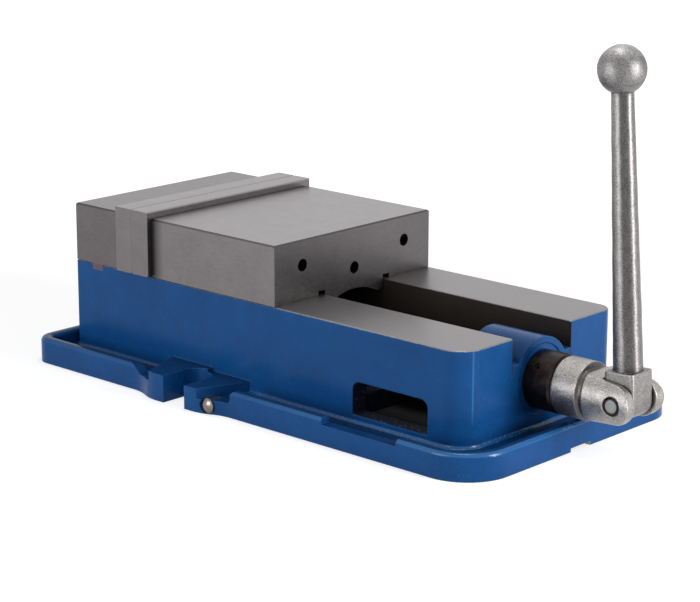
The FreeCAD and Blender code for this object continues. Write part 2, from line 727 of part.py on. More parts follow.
def bed_openings(body):
    """Side windows, clamp slots, keyways, key groove and bolt holes."""
    right = BED_FRONT - s.window_place
    left = right - s.window_length
    low = s.window_low
    high = s.window_low + s.window_height
    bend = s.window_corner
    for name, start in (("near", HALF_CAVITY - OUT), ("far", -HALF_BED - OUT)):
        sketch = new_sketch(body, f"{name}_window_profile", "XZ_Plane", start)
        outline(
            sketch,
            [
                (left, low),
                (right, low),
                (right, high - bend, right - bend, high - bend, bend),
                (right - bend, high),
                (left + bend, high, left + bend, high - bend, bend),
                (left, high - bend),
            ],
        )
        pocket(body, sketch, f"{name}_window", s.side_wall + OUT * 2)

    end = HALF_LUG - s.clamp_slot_inset
    for name, sign in (("near", -1), ("far", 1)):
        sketch = new_sketch(body, f"{name}_slot_plan", "XY_Plane", -OUT)
        mouth = (HALF_LUG + OUT) * sign
        root_y = end * sign
        rectangle(sketch, -HALF_SLOT, HALF_SLOT, *((mouth, root_y) if sign < 0 else (root_y, mouth)))
        pocket(body, sketch, f"{name}_clamp_slot", s.lug_height + OUT * 2)
        sketch = new_sketch(body, f"{name}_slot_end_plan", "XY_Plane", -OUT)
        circle(sketch, 0, root_y, HALF_SLOT)
        pocket(body, sketch, f"{name}_clamp_slot_end", s.lug_height + OUT * 2)

    sketch = new_sketch(body, "long_keyway_plan", "XY_Plane", -OUT)
    rectangle(sketch, FLANGE_REAR - OUT, FLANGE_FRONT + OUT, -HALF_KEYWAY, HALF_KEYWAY)
    pocket(body, sketch, "long_keyway", s.keyway_depth + OUT)
    sketch = new_sketch(body, "cross_keyway_plan", "XY_Plane", -OUT)
    rectangle(sketch, -HALF_KEYWAY, HALF_KEYWAY, -HALF_LUG - OUT, HALF_LUG + OUT)
    pocket(body, sketch, "cross_keyway", s.keyway_depth + OUT)

    key_rear = BED_REAR + s.key_place
    sketch = new_sketch(body, "key_groove_plan", "XY_Plane", RAIL_TOP - s.key_in_bed)
    rectangle(sketch, key_rear, key_rear + s.key_width, -HALF_BED - OUT, HALF_BED + OUT)
    pocket(body, sketch, "key_groove", s.key_in_bed + OUT)

    sketch = new_sketch(body, "bolt_hole_plan", "XY_Plane", DECK_UNDER - OUT)
    for y in (-s.bolt_spacing / 2, s.bolt_spacing / 2):
        circle(sketch, FIXED_FACE - s.bolt_place, y, s.bolt_hole_radius)
    pocket(body, sketch, "bolt_holes", s.deck_depth + OUT * 2)

    sketch = new_sketch(body, "plug_hole_circle", "XZ_Plane", HALF_FLANGE - s.plug_depth)
    circle(sketch, s.plug_place, s.plug_height, s.plug_radius)
    pocket(body, sketch, "plug_hole", s.plug_depth + OUT)


def make_body():
    """Bed casting: flange, trough, bed, housing and everything cut into them."""
    body = new_body("body")
    flange(body)
    trough(body)
    drain_dips(body)
    bed_block(body)
    screw_housing(body)
    bed_openings(body)
    return body


def make_index_plug():
    """Steel plug with a domed head, pressed into the near lug."""
    foot = HALF_FLANGE - s.plug_depth
    length = s.plug_depth + s.plug_reach
    reach = length + s.plug_dome
    dome = (s.plug_radius * s.plug_radius + s.plug_dome * s.plug_dome) / (s.plug_dome * 2)
    body = new_body("index_plug", s.plug_place, -foot, s.plug_height)
    turned(
        body,
        "plug",
        [
            (0, 0),
            (-reach, 0, dome - reach, 0, dome),
            (-length, s.plug_radius),
            (0, s.plug_radius),
        ],
        "YZ_Plane",
    )
    return body


def holes_along_x(body, name, start, holes, depth):
    """Holes, each (y, z, radius), drilled along X from start."""
    sketch = new_sketch(body, f"{name}_circles", "YZ_Plane", start)
    for y, z, radius in holes:
        circle(sketch, y, z, radius)
    pocket(body, sketch, name, depth)


def jaw_side_holes():
    """Centres of a jaw's two tapped holes, in Y and Z, with their radius."""
    z = RAIL_TOP + s.jaw_hole_height
    half = s.jaw_hole_spacing / 2
    return [(-half, z, s.plate_thread_radius), (half, z, s.plate_thread_radius)]


def make_fixed_jaw():
    """Fixed jaw, keyed to the bed and bolted from below."""
    body = new_body("fixed_jaw")
    sketch = new_sketch(body, "fixed_jaw_plan", "XY_Plane", RAIL_TOP)
    rectangle(sketch, BED_REAR, FIXED_FACE, -HALF_BED, HALF_BED)
    block = pad(body, sketch, "fixed_jaw_block", s.jaw_height)

    def top_edge(edge, middle):
        return near(middle.z, JAW_TOP)

    chamfer(body, block, "fixed_jaw_edges", s.jaw_break, top_edge)

    key_rear = BED_REAR + s.key_place
    half = HALF_BED - s.key_end
    sketch = new_sketch(body, "jaw_key_groove_plan", "XY_Plane", RAIL_TOP - OUT)
    rectangle(sketch, key_rear, key_rear + s.key_width, -half, half)
    pocket(body, sketch, "jaw_key_groove", s.key_in_jaw + OUT)

    depth = s.plate_thread_depth
    holes_along_x(body, "front_threads", FIXED_FACE - depth, jaw_side_holes(), depth + OUT)
    holes_along_x(body, "rear_threads", BED_REAR - OUT, jaw_side_holes(), s.rear_thread_depth + OUT)

    sketch = new_sketch(body, "bolt_thread_plan", "XY_Plane", RAIL_TOP - OUT)
    for y in (-s.bolt_spacing / 2, s.bolt_spacing / 2):
        circle(sketch, FIXED_FACE - s.bolt_place, y, s.bolt_thread_radius)
    pocket(body, sketch, "bolt_threads", s.bolt_thread_depth + OUT)
    return body


def make_key():
    """Cross key. Its upper half stops short of the jaw's sides."""
    body = new_body("fixed_jaw_key", BED_REAR + s.key_place, 0, RAIL_TOP)
    half = HALF_BED - s.key_end
    sketch = new_sketch(body, "key_profile", "YZ_Plane")
    outline(
        sketch,
        [
            (-HALF_BED, -s.key_in_bed),
            (HALF_BED, -s.key_in_bed),
            (HALF_BED, 0),
            (half, 0),
            (half, s.key_in_jaw),
            (-half, s.key_in_jaw),
            (-half, 0),
            (-HALF_BED, 0),
        ],
    )
    pad(body, sketch, "key", s.key_width)
    return body


def make_plate(label, rear, screws_from_front):
    """Jaw plate with two counterbored holes."""
    body = new_body(label, rear, 0, RAIL_TOP + s.plate_lift)
    sketch = new_sketch(body, "plate_outline", "YZ_Plane")
    rectangle(sketch, -HALF_PLATE, HALF_PLATE, 0, s.plate_height)
    plate = pad(body, sketch, "plate", s.plate_thickness)

    def front_or_rear_edge(edge, middle):
        return near(middle.x, 0) or near(middle.x, s.plate_thickness)

    chamfer(body, plate, "plate_edges", s.plate_break, front_or_rear_edge)
    z = s.jaw_hole_height - s.plate_lift
    half = s.jaw_hole_spacing / 2
    sunk = s.plate_thickness - s.plate_head_sink if screws_from_front else -as_size(OUT)
    through = [(y, z, s.plate_hole_radius) for y in (-half, half)]
    wide = [(y, z, s.plate_head_radius + s.plate_head_room) for y in (-half, half)]
    holes_along_x(body, "screw_holes", -as_size(OUT), through, s.plate_thickness + OUT * 2)
    holes_along_x(body, "screw_counterbores", sunk, wide, s.plate_head_sink + OUT)
    return body


def make_plate_screws(label, way, seat_x):
    z = RAIL_TOP + s.jaw_hole_height
    y = -s.jaw_hole_spacing / 2
    shank = s.plate_thread_radius - s.thread_fit
    return cap_screws(
        label, way, s.plate_head_radius, s.plate_head_height, shank,
        s.plate_screw_length, s.plate_key_size, seat_x, y, z,
    )


def make_jaw_bolts():
    y = -s.bolt_spacing / 2
    shank = s.bolt_thread_radius - s.thread_fit
    length = s.deck_depth + s.bolt_grip
    return cap_screws(
        "fixed_jaw_bolts", "+Z", s.bolt_head_radius, s.bolt_head_height, shank,
        length, s.bolt_key_size, FIXED_FACE - s.bolt_place, y, DECK_UNDER,
    )


# Angle lock. The ball's centre lies on the jaw's slope, which falls to the front at 45 degrees.
BALL_X = JAW_REAR + s.lock_place
BALL_Z = RAIL_TOP + s.lock_height
SLOPE_SUM = BALL_X + BALL_Z
NOSE_SUM = SLOPE_SUM + s.ball_stand * root(2)


def make_movable_jaw():
    """Movable jaw: block, tongue between the rails, and the pocket with the locking slope."""
    body = new_body("movable_jaw")
    sketch = new_sketch(body, "jaw_plan", "XY_Plane", JAW_UNDER)
    rectangle(sketch, JAW_REAR, JAW_FRONT, -HALF_BED, HALF_BED)
    block = pad(body, sketch, "jaw_block", JAW_TOP - JAW_UNDER)

    def top_edge(edge, middle):
        return near(middle.z, JAW_TOP)

    chamfer(body, block, "jaw_edges", s.jaw_break, top_edge)

    tongue_low = RAIL_TOP - s.tongue_depth
    tongue = HALF_GAP - s.tongue_clearance
    sketch = new_sketch(body, "tongue_plan", "XY_Plane", tongue_low)
    rectangle(sketch, JAW_REAR, JAW_FRONT, -tongue, tongue)
    pad(body, sketch, "tongue", JAW_UNDER - tongue_low)

    sketch = new_sketch(body, "relief_profile", "YZ_Plane", JAW_REAR - OUT)
    for sign in (-1, 1):
        inner = (tongue - s.edge_break) * sign
        outer = (tongue - s.edge_break + s.relief_width) * sign
        left, right = (outer, inner) if sign < 0 else (inner, outer)
        rectangle(sketch, left, right, JAW_UNDER - s.edge_break, JAW_UNDER + s.relief_height)
    pocket(body, sketch, "relief_grooves", s.movable_jaw_length + OUT * 2)

    roof = JAW_TOP - s.pocket_roof
    below = tongue_low - OUT
    sketch = new_sketch(body, "pocket_profile", "XZ_Plane", -s.pocket_half_width)
    outline(
        sketch,
        [
            (SLOPE_SUM - tongue_low, below),
            (POCKET_FRONT, below),
            (POCKET_FRONT, roof),
            (POCKET_REAR, roof),
            (POCKET_REAR, SLOPE_SUM - POCKET_REAR),
            (SLOPE_SUM - tongue_low, tongue_low),
        ],
    )
    pocket(body, sketch, "nut_pocket", s.pocket_half_width * 2)

    sketch = new_sketch(body, "arch_circle", "YZ_Plane", POCKET_FRONT)
    circle(sketch, 0, RAIL_TOP - s.arch_drop - s.arch_radius, s.arch_radius)
    pocket(body, sketch, "boss_arch", s.pocket_front_wall + OUT)

    depth = s.plate_thread_depth
    holes_along_x(body, "front_threads", JAW_FRONT - depth, jaw_side_holes(), depth + OUT)
    holes_along_x(body, "rear_threads", JAW_REAR - OUT, jaw_side_holes(), depth + OUT)
    centre = [(0, RAIL_TOP + s.set_screw_height, s.plate_thread_radius)]
    holes_along_x(body, "set_screw_thread", POCKET_FRONT, centre, s.pocket_front_wall + OUT)

    bore = body.newObject("PartDesign::SubtractiveSphere", "ball_socket")
    bind(bore, "Radius", s.ball_radius + s.running_fit)
    bind(bore, "AttachmentOffset.Base.x", BALL_X)
    bind(bore, "AttachmentOffset.Base.y", 0)
    bind(bore, "AttachmentOffset.Base.z", BALL_Z)
    bore.AttachmentSupport = [(next(f for f in body.Origin.OriginFeatures if f.Role == "XY_Plane"), "")]
    bore.MapMode = "FlatFace"
    return body


def make_half_ball():
    """Half ball: it turns in the jaw's socket, and its flat lies on the nut's nose."""
    ball = doc.addObject("Part::Sphere", "whole_ball")
    bind(ball, "Radius", s.ball_radius)
    seat(ball, "+Z", BALL_X, 0, BALL_Z)
    keep = doc.addObject("Part::Box", "ball_keep")
    for name in ("Length", "Width", "Height"):
        bind(keep, name, s.ball_radius * 4)
    slope = FreeCAD.Rotation(FreeCAD.Vector(0, 1, 0), 45)
    keep.Placement = FreeCAD.Placement(FreeCAD.Vector(0, 0, 0), slope)
    # The block's top face lies on the nose's slope, and its middle is the ball's own.
    step = s.ball_radius * 2 * root(2)
    deep = (s.ball_radius * 4 - s.ball_stand) / root(2)
    bind(keep, "Placement.Base.x", BALL_X - deep - step / 2)
    bind(keep, "Placement.Base.y", -s.ball_radius * 2)
    bind(keep, "Placement.Base.z", BALL_Z - deep + step / 2)
    half = doc.addObject("Part::Common", "half_ball")
    half.Base = ball
    half.Tool = keep
    half.Label = "half_ball"
    return half


def make_nut():
    """Nut: a bored block with a nose that hooks over the half ball."""
    body = new_body("nut")
    low = AXIS - s.nut_below_axis
    shoulder = AXIS + s.nut_above_axis
    nose_rear = POCKET_REAR + s.nose_room
    nose_top = JAW_TOP - s.pocket_roof - s.nose_room
    sketch = new_sketch(body, "nut_block_profile", "YZ_Plane", NUT_REAR)
    rectangle(sketch, -s.nut_half_width, s.nut_half_width, low, shoulder)
    block = pad(body, sketch, "nut_block", NUT_LENGTH)

    def long_edge(edge, middle):
        return near(middle.x, NUT_REAR + NUT_LENGTH / 2)

    fillet(body, block, "nut_rounds", s.nut_round, long_edge)
    sketch = new_sketch(body, "nose_profile", "XZ_Plane", -s.nose_half_width)
    outline(
        sketch,
        [
            (NOSE_SUM - shoulder, shoulder - s.nut_round),
            (NUT_FRONT, shoulder - s.nut_round),
            (NUT_FRONT, nose_top),
            (nose_rear, nose_top),
            (nose_rear, NOSE_SUM - nose_rear),
            (NOSE_SUM - shoulder, shoulder),
        ],
    )
    pad(body, sketch, "nose", s.nose_half_width * 2)
    bore = [(0, AXIS, s.screw_radius + s.running_fit)]
    holes_along_x(body, "nut_thread", NUT_REAR - OUT, bore, NUT_LENGTH + OUT * 2)
    return body


def make_jaw_set_screw():
    """Set screw in the jaw's front wall, its tip on the nut."""
    z = RAIL_TOP + s.set_screw_height
    radius = s.plate_thread_radius - s.thread_fit
    bar = rod("set_screw_bar", "+X", radius, s.set_screw_length, NUT_FRONT, 0, z)
    start = NUT_FRONT + s.set_screw_length - s.set_screw_key
    socket = hexagon("set_screw_socket", "+X", s.set_screw_key, s.set_screw_key + 1, start, 0, z)
    return cut("jaw_set_screw", bar, socket)


def make_screw():
    """Lead screw: threaded length, thrust shoulder, journal and hexagonal end."""
    tail = NUT_REAR - s.screw_tail
    shoulder_rear = SHOULDER_FRONT - s.shoulder_length
    body = new_body("screw", 0, 0, AXIS)
    turned(
        body,
        "screw_blank",
        [
            (tail, 0),
            (CLEVIS_REAR, 0),
            (CLEVIS_REAR, s.journal_radius - s.edge_break),
            (CLEVIS_REAR - s.edge_break, s.journal_radius),
            (SHOULDER_FRONT, s.journal_radius),
            (SHOULDER_FRONT, s.shoulder_radius),
            (shoulder_rear, s.shoulder_radius),
            (shoulder_rear, s.screw_radius),
            (tail + s.nut_round, s.screw_radius),
            (tail, s.screw_radius - s.nut_round),
        ],
    )
    sketch = new_sketch(body, "hexagon_outline", "YZ_Plane", CLEVIS_REAR)
    hexagon_outline(sketch, s.hex_width)
    pad(body, sketch, "hexagon", s.hex_length)
    return body


def hexagon_outline(sketch, across):
    """Regular hexagon about the origin with flats above and below."""
    half = across / 2
    corner = across / root(3)
    outline(
        sketch,
        [
            (-corner, 0),
            (-corner / 2, -half),
            (corner / 2, -half),
            (corner, 0),
            (corner / 2, half),
            (-corner / 2, half),
        ],
    )


def make_race(label, rear):
    """Thrust race: a flat washer on the journal."""
    bore = s.journal_radius + s.race_step
    body = new_body(label, rear, 0, AXIS)
    turned(
        body,
        "race",
        [
            (0, bore),
            (s.race_thickness, bore),
            (s.race_thickness, s.shoulder_radius),
            (0, s.shoulder_radius),
        ],
    )
    return body


def make_cage():
    """Needle cage: a ring with one radial window for each needle."""
    bore = s.journal_radius + s.race_step
    half = s.cage_thickness / 2
    body = new_body("thrust_cage", NEEDLE_MIDDLE, 0, AXIS)
    turned(
        body,
        "cage_ring",
        [(-half, bore), (half, bore), (half, s.shoulder_radius), (-half, s.shoulder_radius)],
    )
    doc.recompute()
    sketch = new_sketch(body, "needle_window_profile", "YZ_Plane", -half - s.needle_play)
    middle = (bore + s.shoulder_radius) / 2
    reach = s.needle_length / 2 + s.needle_play
    wide = s.needle_radius + s.needle_play
    rectangle(sketch, -wide, wide, middle - reach, middle + reach)
    window = pocket(body, sketch, "needle_window", s.cage_thickness + s.needle_play * 2)
    doc.recompute()
    windows = body.newObject("PartDesign::PolarPattern", "needle_windows")
    windows.Originals = [window]
    windows.Axis = (next(f for f in body.Origin.OriginFeatures if f.Role == "X_Axis"), [""])
    windows.Angle = 360.0
    windows.Occurrences = round(s.needle_count.number)
    bind(windows, "Occurrences", s.needle_count)
    body.Tip = windows
    return body


def make_needles():
    """Needle rollers, laid out like spokes, as separate solids."""
    middle = (s.journal_radius.number + s.race_step.number + s.shoulder_radius.number) / 2
    radius = s.needle_radius.number
    length = s.needle_length.number
    count = round(s.needle_count.number)
    needles = []
    for index in range(count):
        turn = FreeCAD.Rotation(FreeCAD.Vector(1, 0, 0), index * 360 / count)
        foot = turn.multVec(FreeCAD.Vector(0, 0, middle - length / 2))
        way = turn.multVec(FreeCAD.Vector(0, 0, 1))
        needles.append(Part.makeCylinder(radius, length, foot, way))
    group = doc.addObject("Part::Feature", "thrust_needles")
    group.Shape = Part.makeCompound(needles)
    group.Label = "thrust_needles"
    bind(group, "Placement.Base.x", NEEDLE_MIDDLE)
    bind(group, "Placement.Base.z", AXIS)
    return group


def make_collar():
    """Black collar with a turned lip and a radial set screw hole."""
    bore = s.journal_radius + s.running_fit
    length = s.collar_length
    lip = s.collar_break
    ring = doc.addObject("PartDesign::Body", "collar_blank")
    bind(ring, "Placement.Base.x", COLLAR_REAR)
    bind(ring, "Placement.Base.z", AXIS)
    turned(
        ring,
        "collar_ring",
        [
            (0, bore),
            (length, bore),
            (length, s.collar_radius - lip),
            (length - lip, s.collar_radius),
            (lip / 2, s.collar_radius),
            (0, s.collar_radius - lip / 2),
        ],
    )
    drill = radial_rod("collar_drill", s.collar_hole_radius, s.collar_radius)
    return cut("screw_collar", ring, drill)


def radial_rod(name, radius, length, start=0):
    """A cylinder that stands on the screw axis and points at the collar's hole."""
    cylinder = doc.addObject("Part::Cylinder", name)
    bind(cylinder, "Radius", radius)
    bind(cylinder, "Height", length)
    lean_out(cylinder, start)
    return cylinder


def lean_out(thing, start):
    """Turn a primitive to the collar hole's angle, starting that far from the screw axis."""
    angle = s.collar_hole_angle
    start = as_size(start)
    thing.Placement = FreeCAD.Placement(
        FreeCAD.Vector(0, 0, 0), FreeCAD.Rotation(FreeCAD.Vector(1, 0, 0), angle.number)
    )
    bind(thing, "Placement.Rotation.Angle", angle)
    bind(thing, "Placement.Base.x", COLLAR_REAR + s.collar_hole_place)
    bind(thing, "Placement.Base.y", -start * sine(angle))
    bind(thing, "Placement.Base.z", AXIS + start * cosine(angle))


def make_collar_set_screw():
    """Set screw in the collar, its tip on the journal."""
    radius = s.collar_hole_radius - s.thread_fit
    bar = radial_rod("grub_bar", radius, s.grub_length, s.journal_radius)
    socket = doc.addObject("Part::Prism", "grub_socket")
    socket.Polygon = 6
    bind(socket, "Circumradius", s.grub_key / root(3))
    bind(socket, "Height", s.grub_length)
    lean_out(socket, s.journal_radius + s.grub_length / 2)
    return cut("collar_set_screw", bar, socket)


def make_clevis():
    """Clevis: turned barrel with a hexagonal socket, and two tapered ears for the lever."""
    end = PIN_X + s.ear_radius
    neck = CLEVIS_REAR + s.barrel_length
    ears = neck + s.neck_length
    blank = doc.addObject("PartDesign::Body", "clevis_turning")
    bind(blank, "Placement.Base.z", AXIS)
    turned(
        blank,
        "clevis_blank",
        [
            (CLEVIS_REAR, 0),
            (end, 0),
            (end, s.ear_span_radius),
            (ears, s.ear_span_radius),
            (ears, s.barrel_radius - s.neck_depth),
            (neck, s.barrel_radius - s.neck_depth),
            (neck, s.barrel_radius),
            (CLEVIS_REAR + s.edge_break, s.barrel_radius),
            (CLEVIS_REAR, s.barrel_radius - s.edge_break),
        ],
    )
    side = doc.addObject("PartDesign::Body", "clevis_side")
    bind(side, "Placement.Base.z", AXIS)
    rise = s.ear_radius * cosine(s.ear_taper)
    run = s.ear_radius * sine(s.ear_taper)
    slope = sine(s.ear_taper) / cosine(s.ear_taper)
    at_ears = rise + (PIN_X + run - ears) * slope
    wide = s.ear_span_radius + s.ear_radius
    sketch = new_sketch(side, "ear_profile", "XZ_Plane", -wide)
    outline(
        sketch,
        [
            (CLEVIS_REAR, -wide),
            (ears, -wide),
            (ears, -at_ears),
            (PIN_X + run, -rise, PIN_X, 0, s.ear_radius),
            (end, 0, PIN_X, 0, s.ear_radius),
            (PIN_X + run, rise),
            (ears, at_ears),
            (ears, wide),
            (CLEVIS_REAR, wide),
        ],
    )
    pad(side, sketch, "ear_sides", wide * 2)
    shaped = doc.addObject("Part::Common", "clevis_shaped")
    shaped.Base = blank
    shaped.Tool = side

    floor = PIN_X - HALF_BLOCK - s.block_room
    fork = doc.addObject("Part::Box", "fork_gap")
    bind(fork, "Length", end - floor + OUT)
    bind(fork, "Width", HALF_FORK * 2)
    bind(fork, "Height", wide * 2)
    seat(fork, "+Z", floor, -HALF_FORK, AXIS - wide)
    across = s.hex_width + s.hex_fit
    socket = doc.addObject("PartDesign::Body", "clevis_socket")
    bind(socket, "Placement.Base.z", AXIS)
    sketch = new_sketch(socket, "socket_outline", "YZ_Plane", CLEVIS_REAR - s.clevis_gap)
    hexagon_outline(sketch, across)
    pad(socket, sketch, "socket", s.hex_length + s.socket_room + s.clevis_gap)
    bore = rod("pin_bore", "+Y", s.pin_radius + s.thread_fit, wide * 2, PIN_X, -wide, AXIS)
    inner = s.ear_span_radius - s.pin_short - s.ring_thickness
    ring_radius = s.pin_radius + s.ring_width + s.thread_fit * 2
    near_recess = rod("near_ring_recess", "-Y", ring_radius, wide, PIN_X, -inner, AXIS)
    far_recess = rod("far_ring_recess", "+Y", ring_radius, wide, PIN_X, inner, AXIS)
    tools = fuse("clevis_tools", [fork, socket, bore, near_recess, far_recess])
    return cut("handle_clevis", shaped, tools)


def make_pin():
    """Pivot pin through the ears and the lever's block."""
    half = s.ear_span_radius - s.pin_short
    return rod("handle_pin", "+Y", s.pin_radius, half * 2, PIN_X, -half, AXIS)


def make_pin_rings():
    """Retaining rings in the ears' recesses, one at each end of the pin."""
    thick = s.ring_thickness
    outer = s.ear_span_radius - s.pin_short
    inner = s.pin_radius + s.thread_fit
    disc = rod("ring_disc", "-Y", inner + s.ring_width, thick, PIN_X, thick - outer, AXIS)
    hole = rod("ring_hole", "-Y", inner, thick * 3, PIN_X, thick * 2 - outer, AXIS)
    return mirrored_pair("pin_rings", cut("near_ring", disc, hole))


def make_lever():
    """Forged lever: block on the pin, tapered rod and ball, leaning towards the jaws."""
    body = new_body("handle_lever", PIN_X, 0, AXIS)
    body.Placement.Rotation = FreeCAD.Rotation(FreeCAD.Vector(0, -1, 0), s.lever_lean.number)
    bind(body, "Placement.Rotation.Angle", s.lever_lean)
    sketch = new_sketch(body, "block_profile", "XZ_Plane", -HALF_BLOCK)
    outline(
        sketch,
        [
            (-HALF_BLOCK, 0, 0, 0, HALF_BLOCK),
            (0, -HALF_BLOCK, 0, 0, HALF_BLOCK),
            (HALF_BLOCK, 0),
            (HALF_BLOCK, s.block_top),
            (-HALF_BLOCK, s.block_top),
        ],
    )
    pad(body, sketch, "block", s.lever_block)

    reach = root(s.ball_end_radius * s.ball_end_radius - s.rod_tip_radius * s.rod_tip_radius)
    top = s.lever_length + s.ball_end_radius
    turned(
        body,
        "rod_and_ball",
        [
            (0, 0),
            (HALF_BLOCK - s.rod_fillet, 0),
            (HALF_BLOCK - s.rod_fillet, s.block_top),
            (s.rod_foot_radius, s.block_top + s.rod_fillet),
            (s.rod_tip_radius, s.lever_length - reach, 0, s.lever_length, s.ball_end_radius),
            (s.ball_end_radius, s.lever_length, 0, s.lever_length, s.ball_end_radius),
            (0, top),
        ],
        axis="V_Axis",
    )

    sketch = new_sketch(body, "eye_circle", "XZ_Plane", -HALF_BLOCK - OUT)
    circle(sketch, 0, 0, s.pin_radius + s.running_fit)
    pocket(body, sketch, "eye", s.lever_block + OUT * 2)
    return body


def main():
    screws_front = FIXED_FACE + s.plate_thickness - s.plate_head_sink
    screws_rear = PLATES_MEET + s.plate_head_sink
    pieces = [
        make_body(),
        make_index_plug(),
        make_fixed_jaw(),
        make_key(),
        make_jaw_bolts(),
        make_plate("fixed_jaw_plate", FIXED_FACE, True),
        make_plate_screws("fixed_plate_screws", "-X", screws_front),
        make_plate("movable_jaw_plate", PLATES_MEET, False),
        make_plate_screws("movable_plate_screws", "+X", screws_rear),
        make_movable_jaw(),
        make_jaw_set_screw(),
        make_half_ball(),
        make_nut(),
        make_screw(),
        make_race("rear_thrust_race", SHOULDER_FRONT),
        make_race("front_thrust_race", RECESS_FLOOR - s.race_thickness),
        make_cage(),
        make_needles(),
        make_collar(),
        make_collar_set_screw(),
        make_clevis(),
        make_pin(),
        make_pin_rings(),
        make_lever(),
    ]
    doc.recompute()
    for thing in doc.Objects:
        if "Invalid" in thing.State or "Error" in thing.State:
            raise RuntimeError(f"{thing.Name} failed: {thing.State}")
    for piece in pieces:
        if piece.Shape.isNull() or not piece.Shape.isValid():
            raise RuntimeError(f"{piece.Label} has no valid shape")
    os.makedirs("parts", exist_ok=True)
    for piece in pieces:
        piece.Shape.exportStep(f"parts/{piece.Label}.step")
        box = piece.Shape.BoundBox
        print(
            f"{piece.Label}: {len(piece.Shape.Solids)} solid(s), {piece.Shape.Volume / 1000:.1f} cm3,"
            f" X {box.XMin:.1f} to {box.XMax:.1f}, Y {box.YMin:.1f} to {box.YMax:.1f},"
            f" Z {box.ZMin:.1f} to {box.ZMax:.1f}"
        )


main()
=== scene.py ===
"""An angle lock machine vise on a pale studio floor.

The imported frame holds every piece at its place. Each piece gets its finish here, and those whose real shape
is finer than the frame's solids are modelled again: the lead screw with its thread, the socket head screws,
the retaining rings and the forged handle. Shapes are worked out in millimetres and made in metres.
"""
import logging
import math
from abc import ABC, abstractmethod
from dataclasses import dataclass
from enum import Enum, auto
from typing import Any, Callable, Sequence

import bmesh
import bpy
import numpy as np
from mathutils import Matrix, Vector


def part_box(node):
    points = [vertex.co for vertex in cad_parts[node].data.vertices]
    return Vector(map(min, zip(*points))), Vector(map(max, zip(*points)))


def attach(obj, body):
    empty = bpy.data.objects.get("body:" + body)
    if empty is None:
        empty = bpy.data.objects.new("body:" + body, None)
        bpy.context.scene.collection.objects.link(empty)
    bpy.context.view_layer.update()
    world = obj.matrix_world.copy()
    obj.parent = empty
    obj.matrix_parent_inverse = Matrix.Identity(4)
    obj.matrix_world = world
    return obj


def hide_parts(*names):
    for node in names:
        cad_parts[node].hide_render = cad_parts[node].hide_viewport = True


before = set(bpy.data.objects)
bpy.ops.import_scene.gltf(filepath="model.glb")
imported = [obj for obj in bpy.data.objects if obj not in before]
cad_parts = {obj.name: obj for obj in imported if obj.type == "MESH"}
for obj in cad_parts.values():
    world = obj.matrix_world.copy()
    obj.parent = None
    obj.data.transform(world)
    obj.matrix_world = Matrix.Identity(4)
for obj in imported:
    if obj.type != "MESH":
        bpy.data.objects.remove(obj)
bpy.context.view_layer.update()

Array = np.ndarray
Triple = tuple[float, float, float]
Pairs = tuple[tuple[float, float], ...]
Layers = tuple[tuple[float, float, int], ...]
Piece = bpy.types.Object
Mesh = bpy.types.Mesh
Material = bpy.types.Material
Node = bpy.types.Node
Tree = bpy.types.NodeTree

MM = 0.001
FULL_TURN = 2 * math.pi
ROUND_POWER = 2.0
CORNER_SAMPLES = 4
SKY_SAMPLES = 6
STARTUP_OBJECTS = ("Cube", "Light", "Camera")
log = logging.getLogger("vise")


def put(tree: Tree, kind: str, values: dict[str | int, Any] | None = None, **settings: Any) -> Node:
    """Adds one shader node.

    Args:
        tree: the tree that the node goes into.
        kind: the node's type, without its ShaderNode prefix.
        values: for each input, a number or colour to set, or a Value to link.
        settings: properties of the node itself.

    Returns:
        The new node.
    """
    node = tree.nodes.new("ShaderNode" + kind)
    for name, setting in settings.items():
        setattr(node, name, setting)
    for name, value in (values or {}).items():
        if isinstance(value, Value):
            tree.links.new(value.socket, node.inputs[name])
        else:
            node.inputs[name].default_value = value
    return node


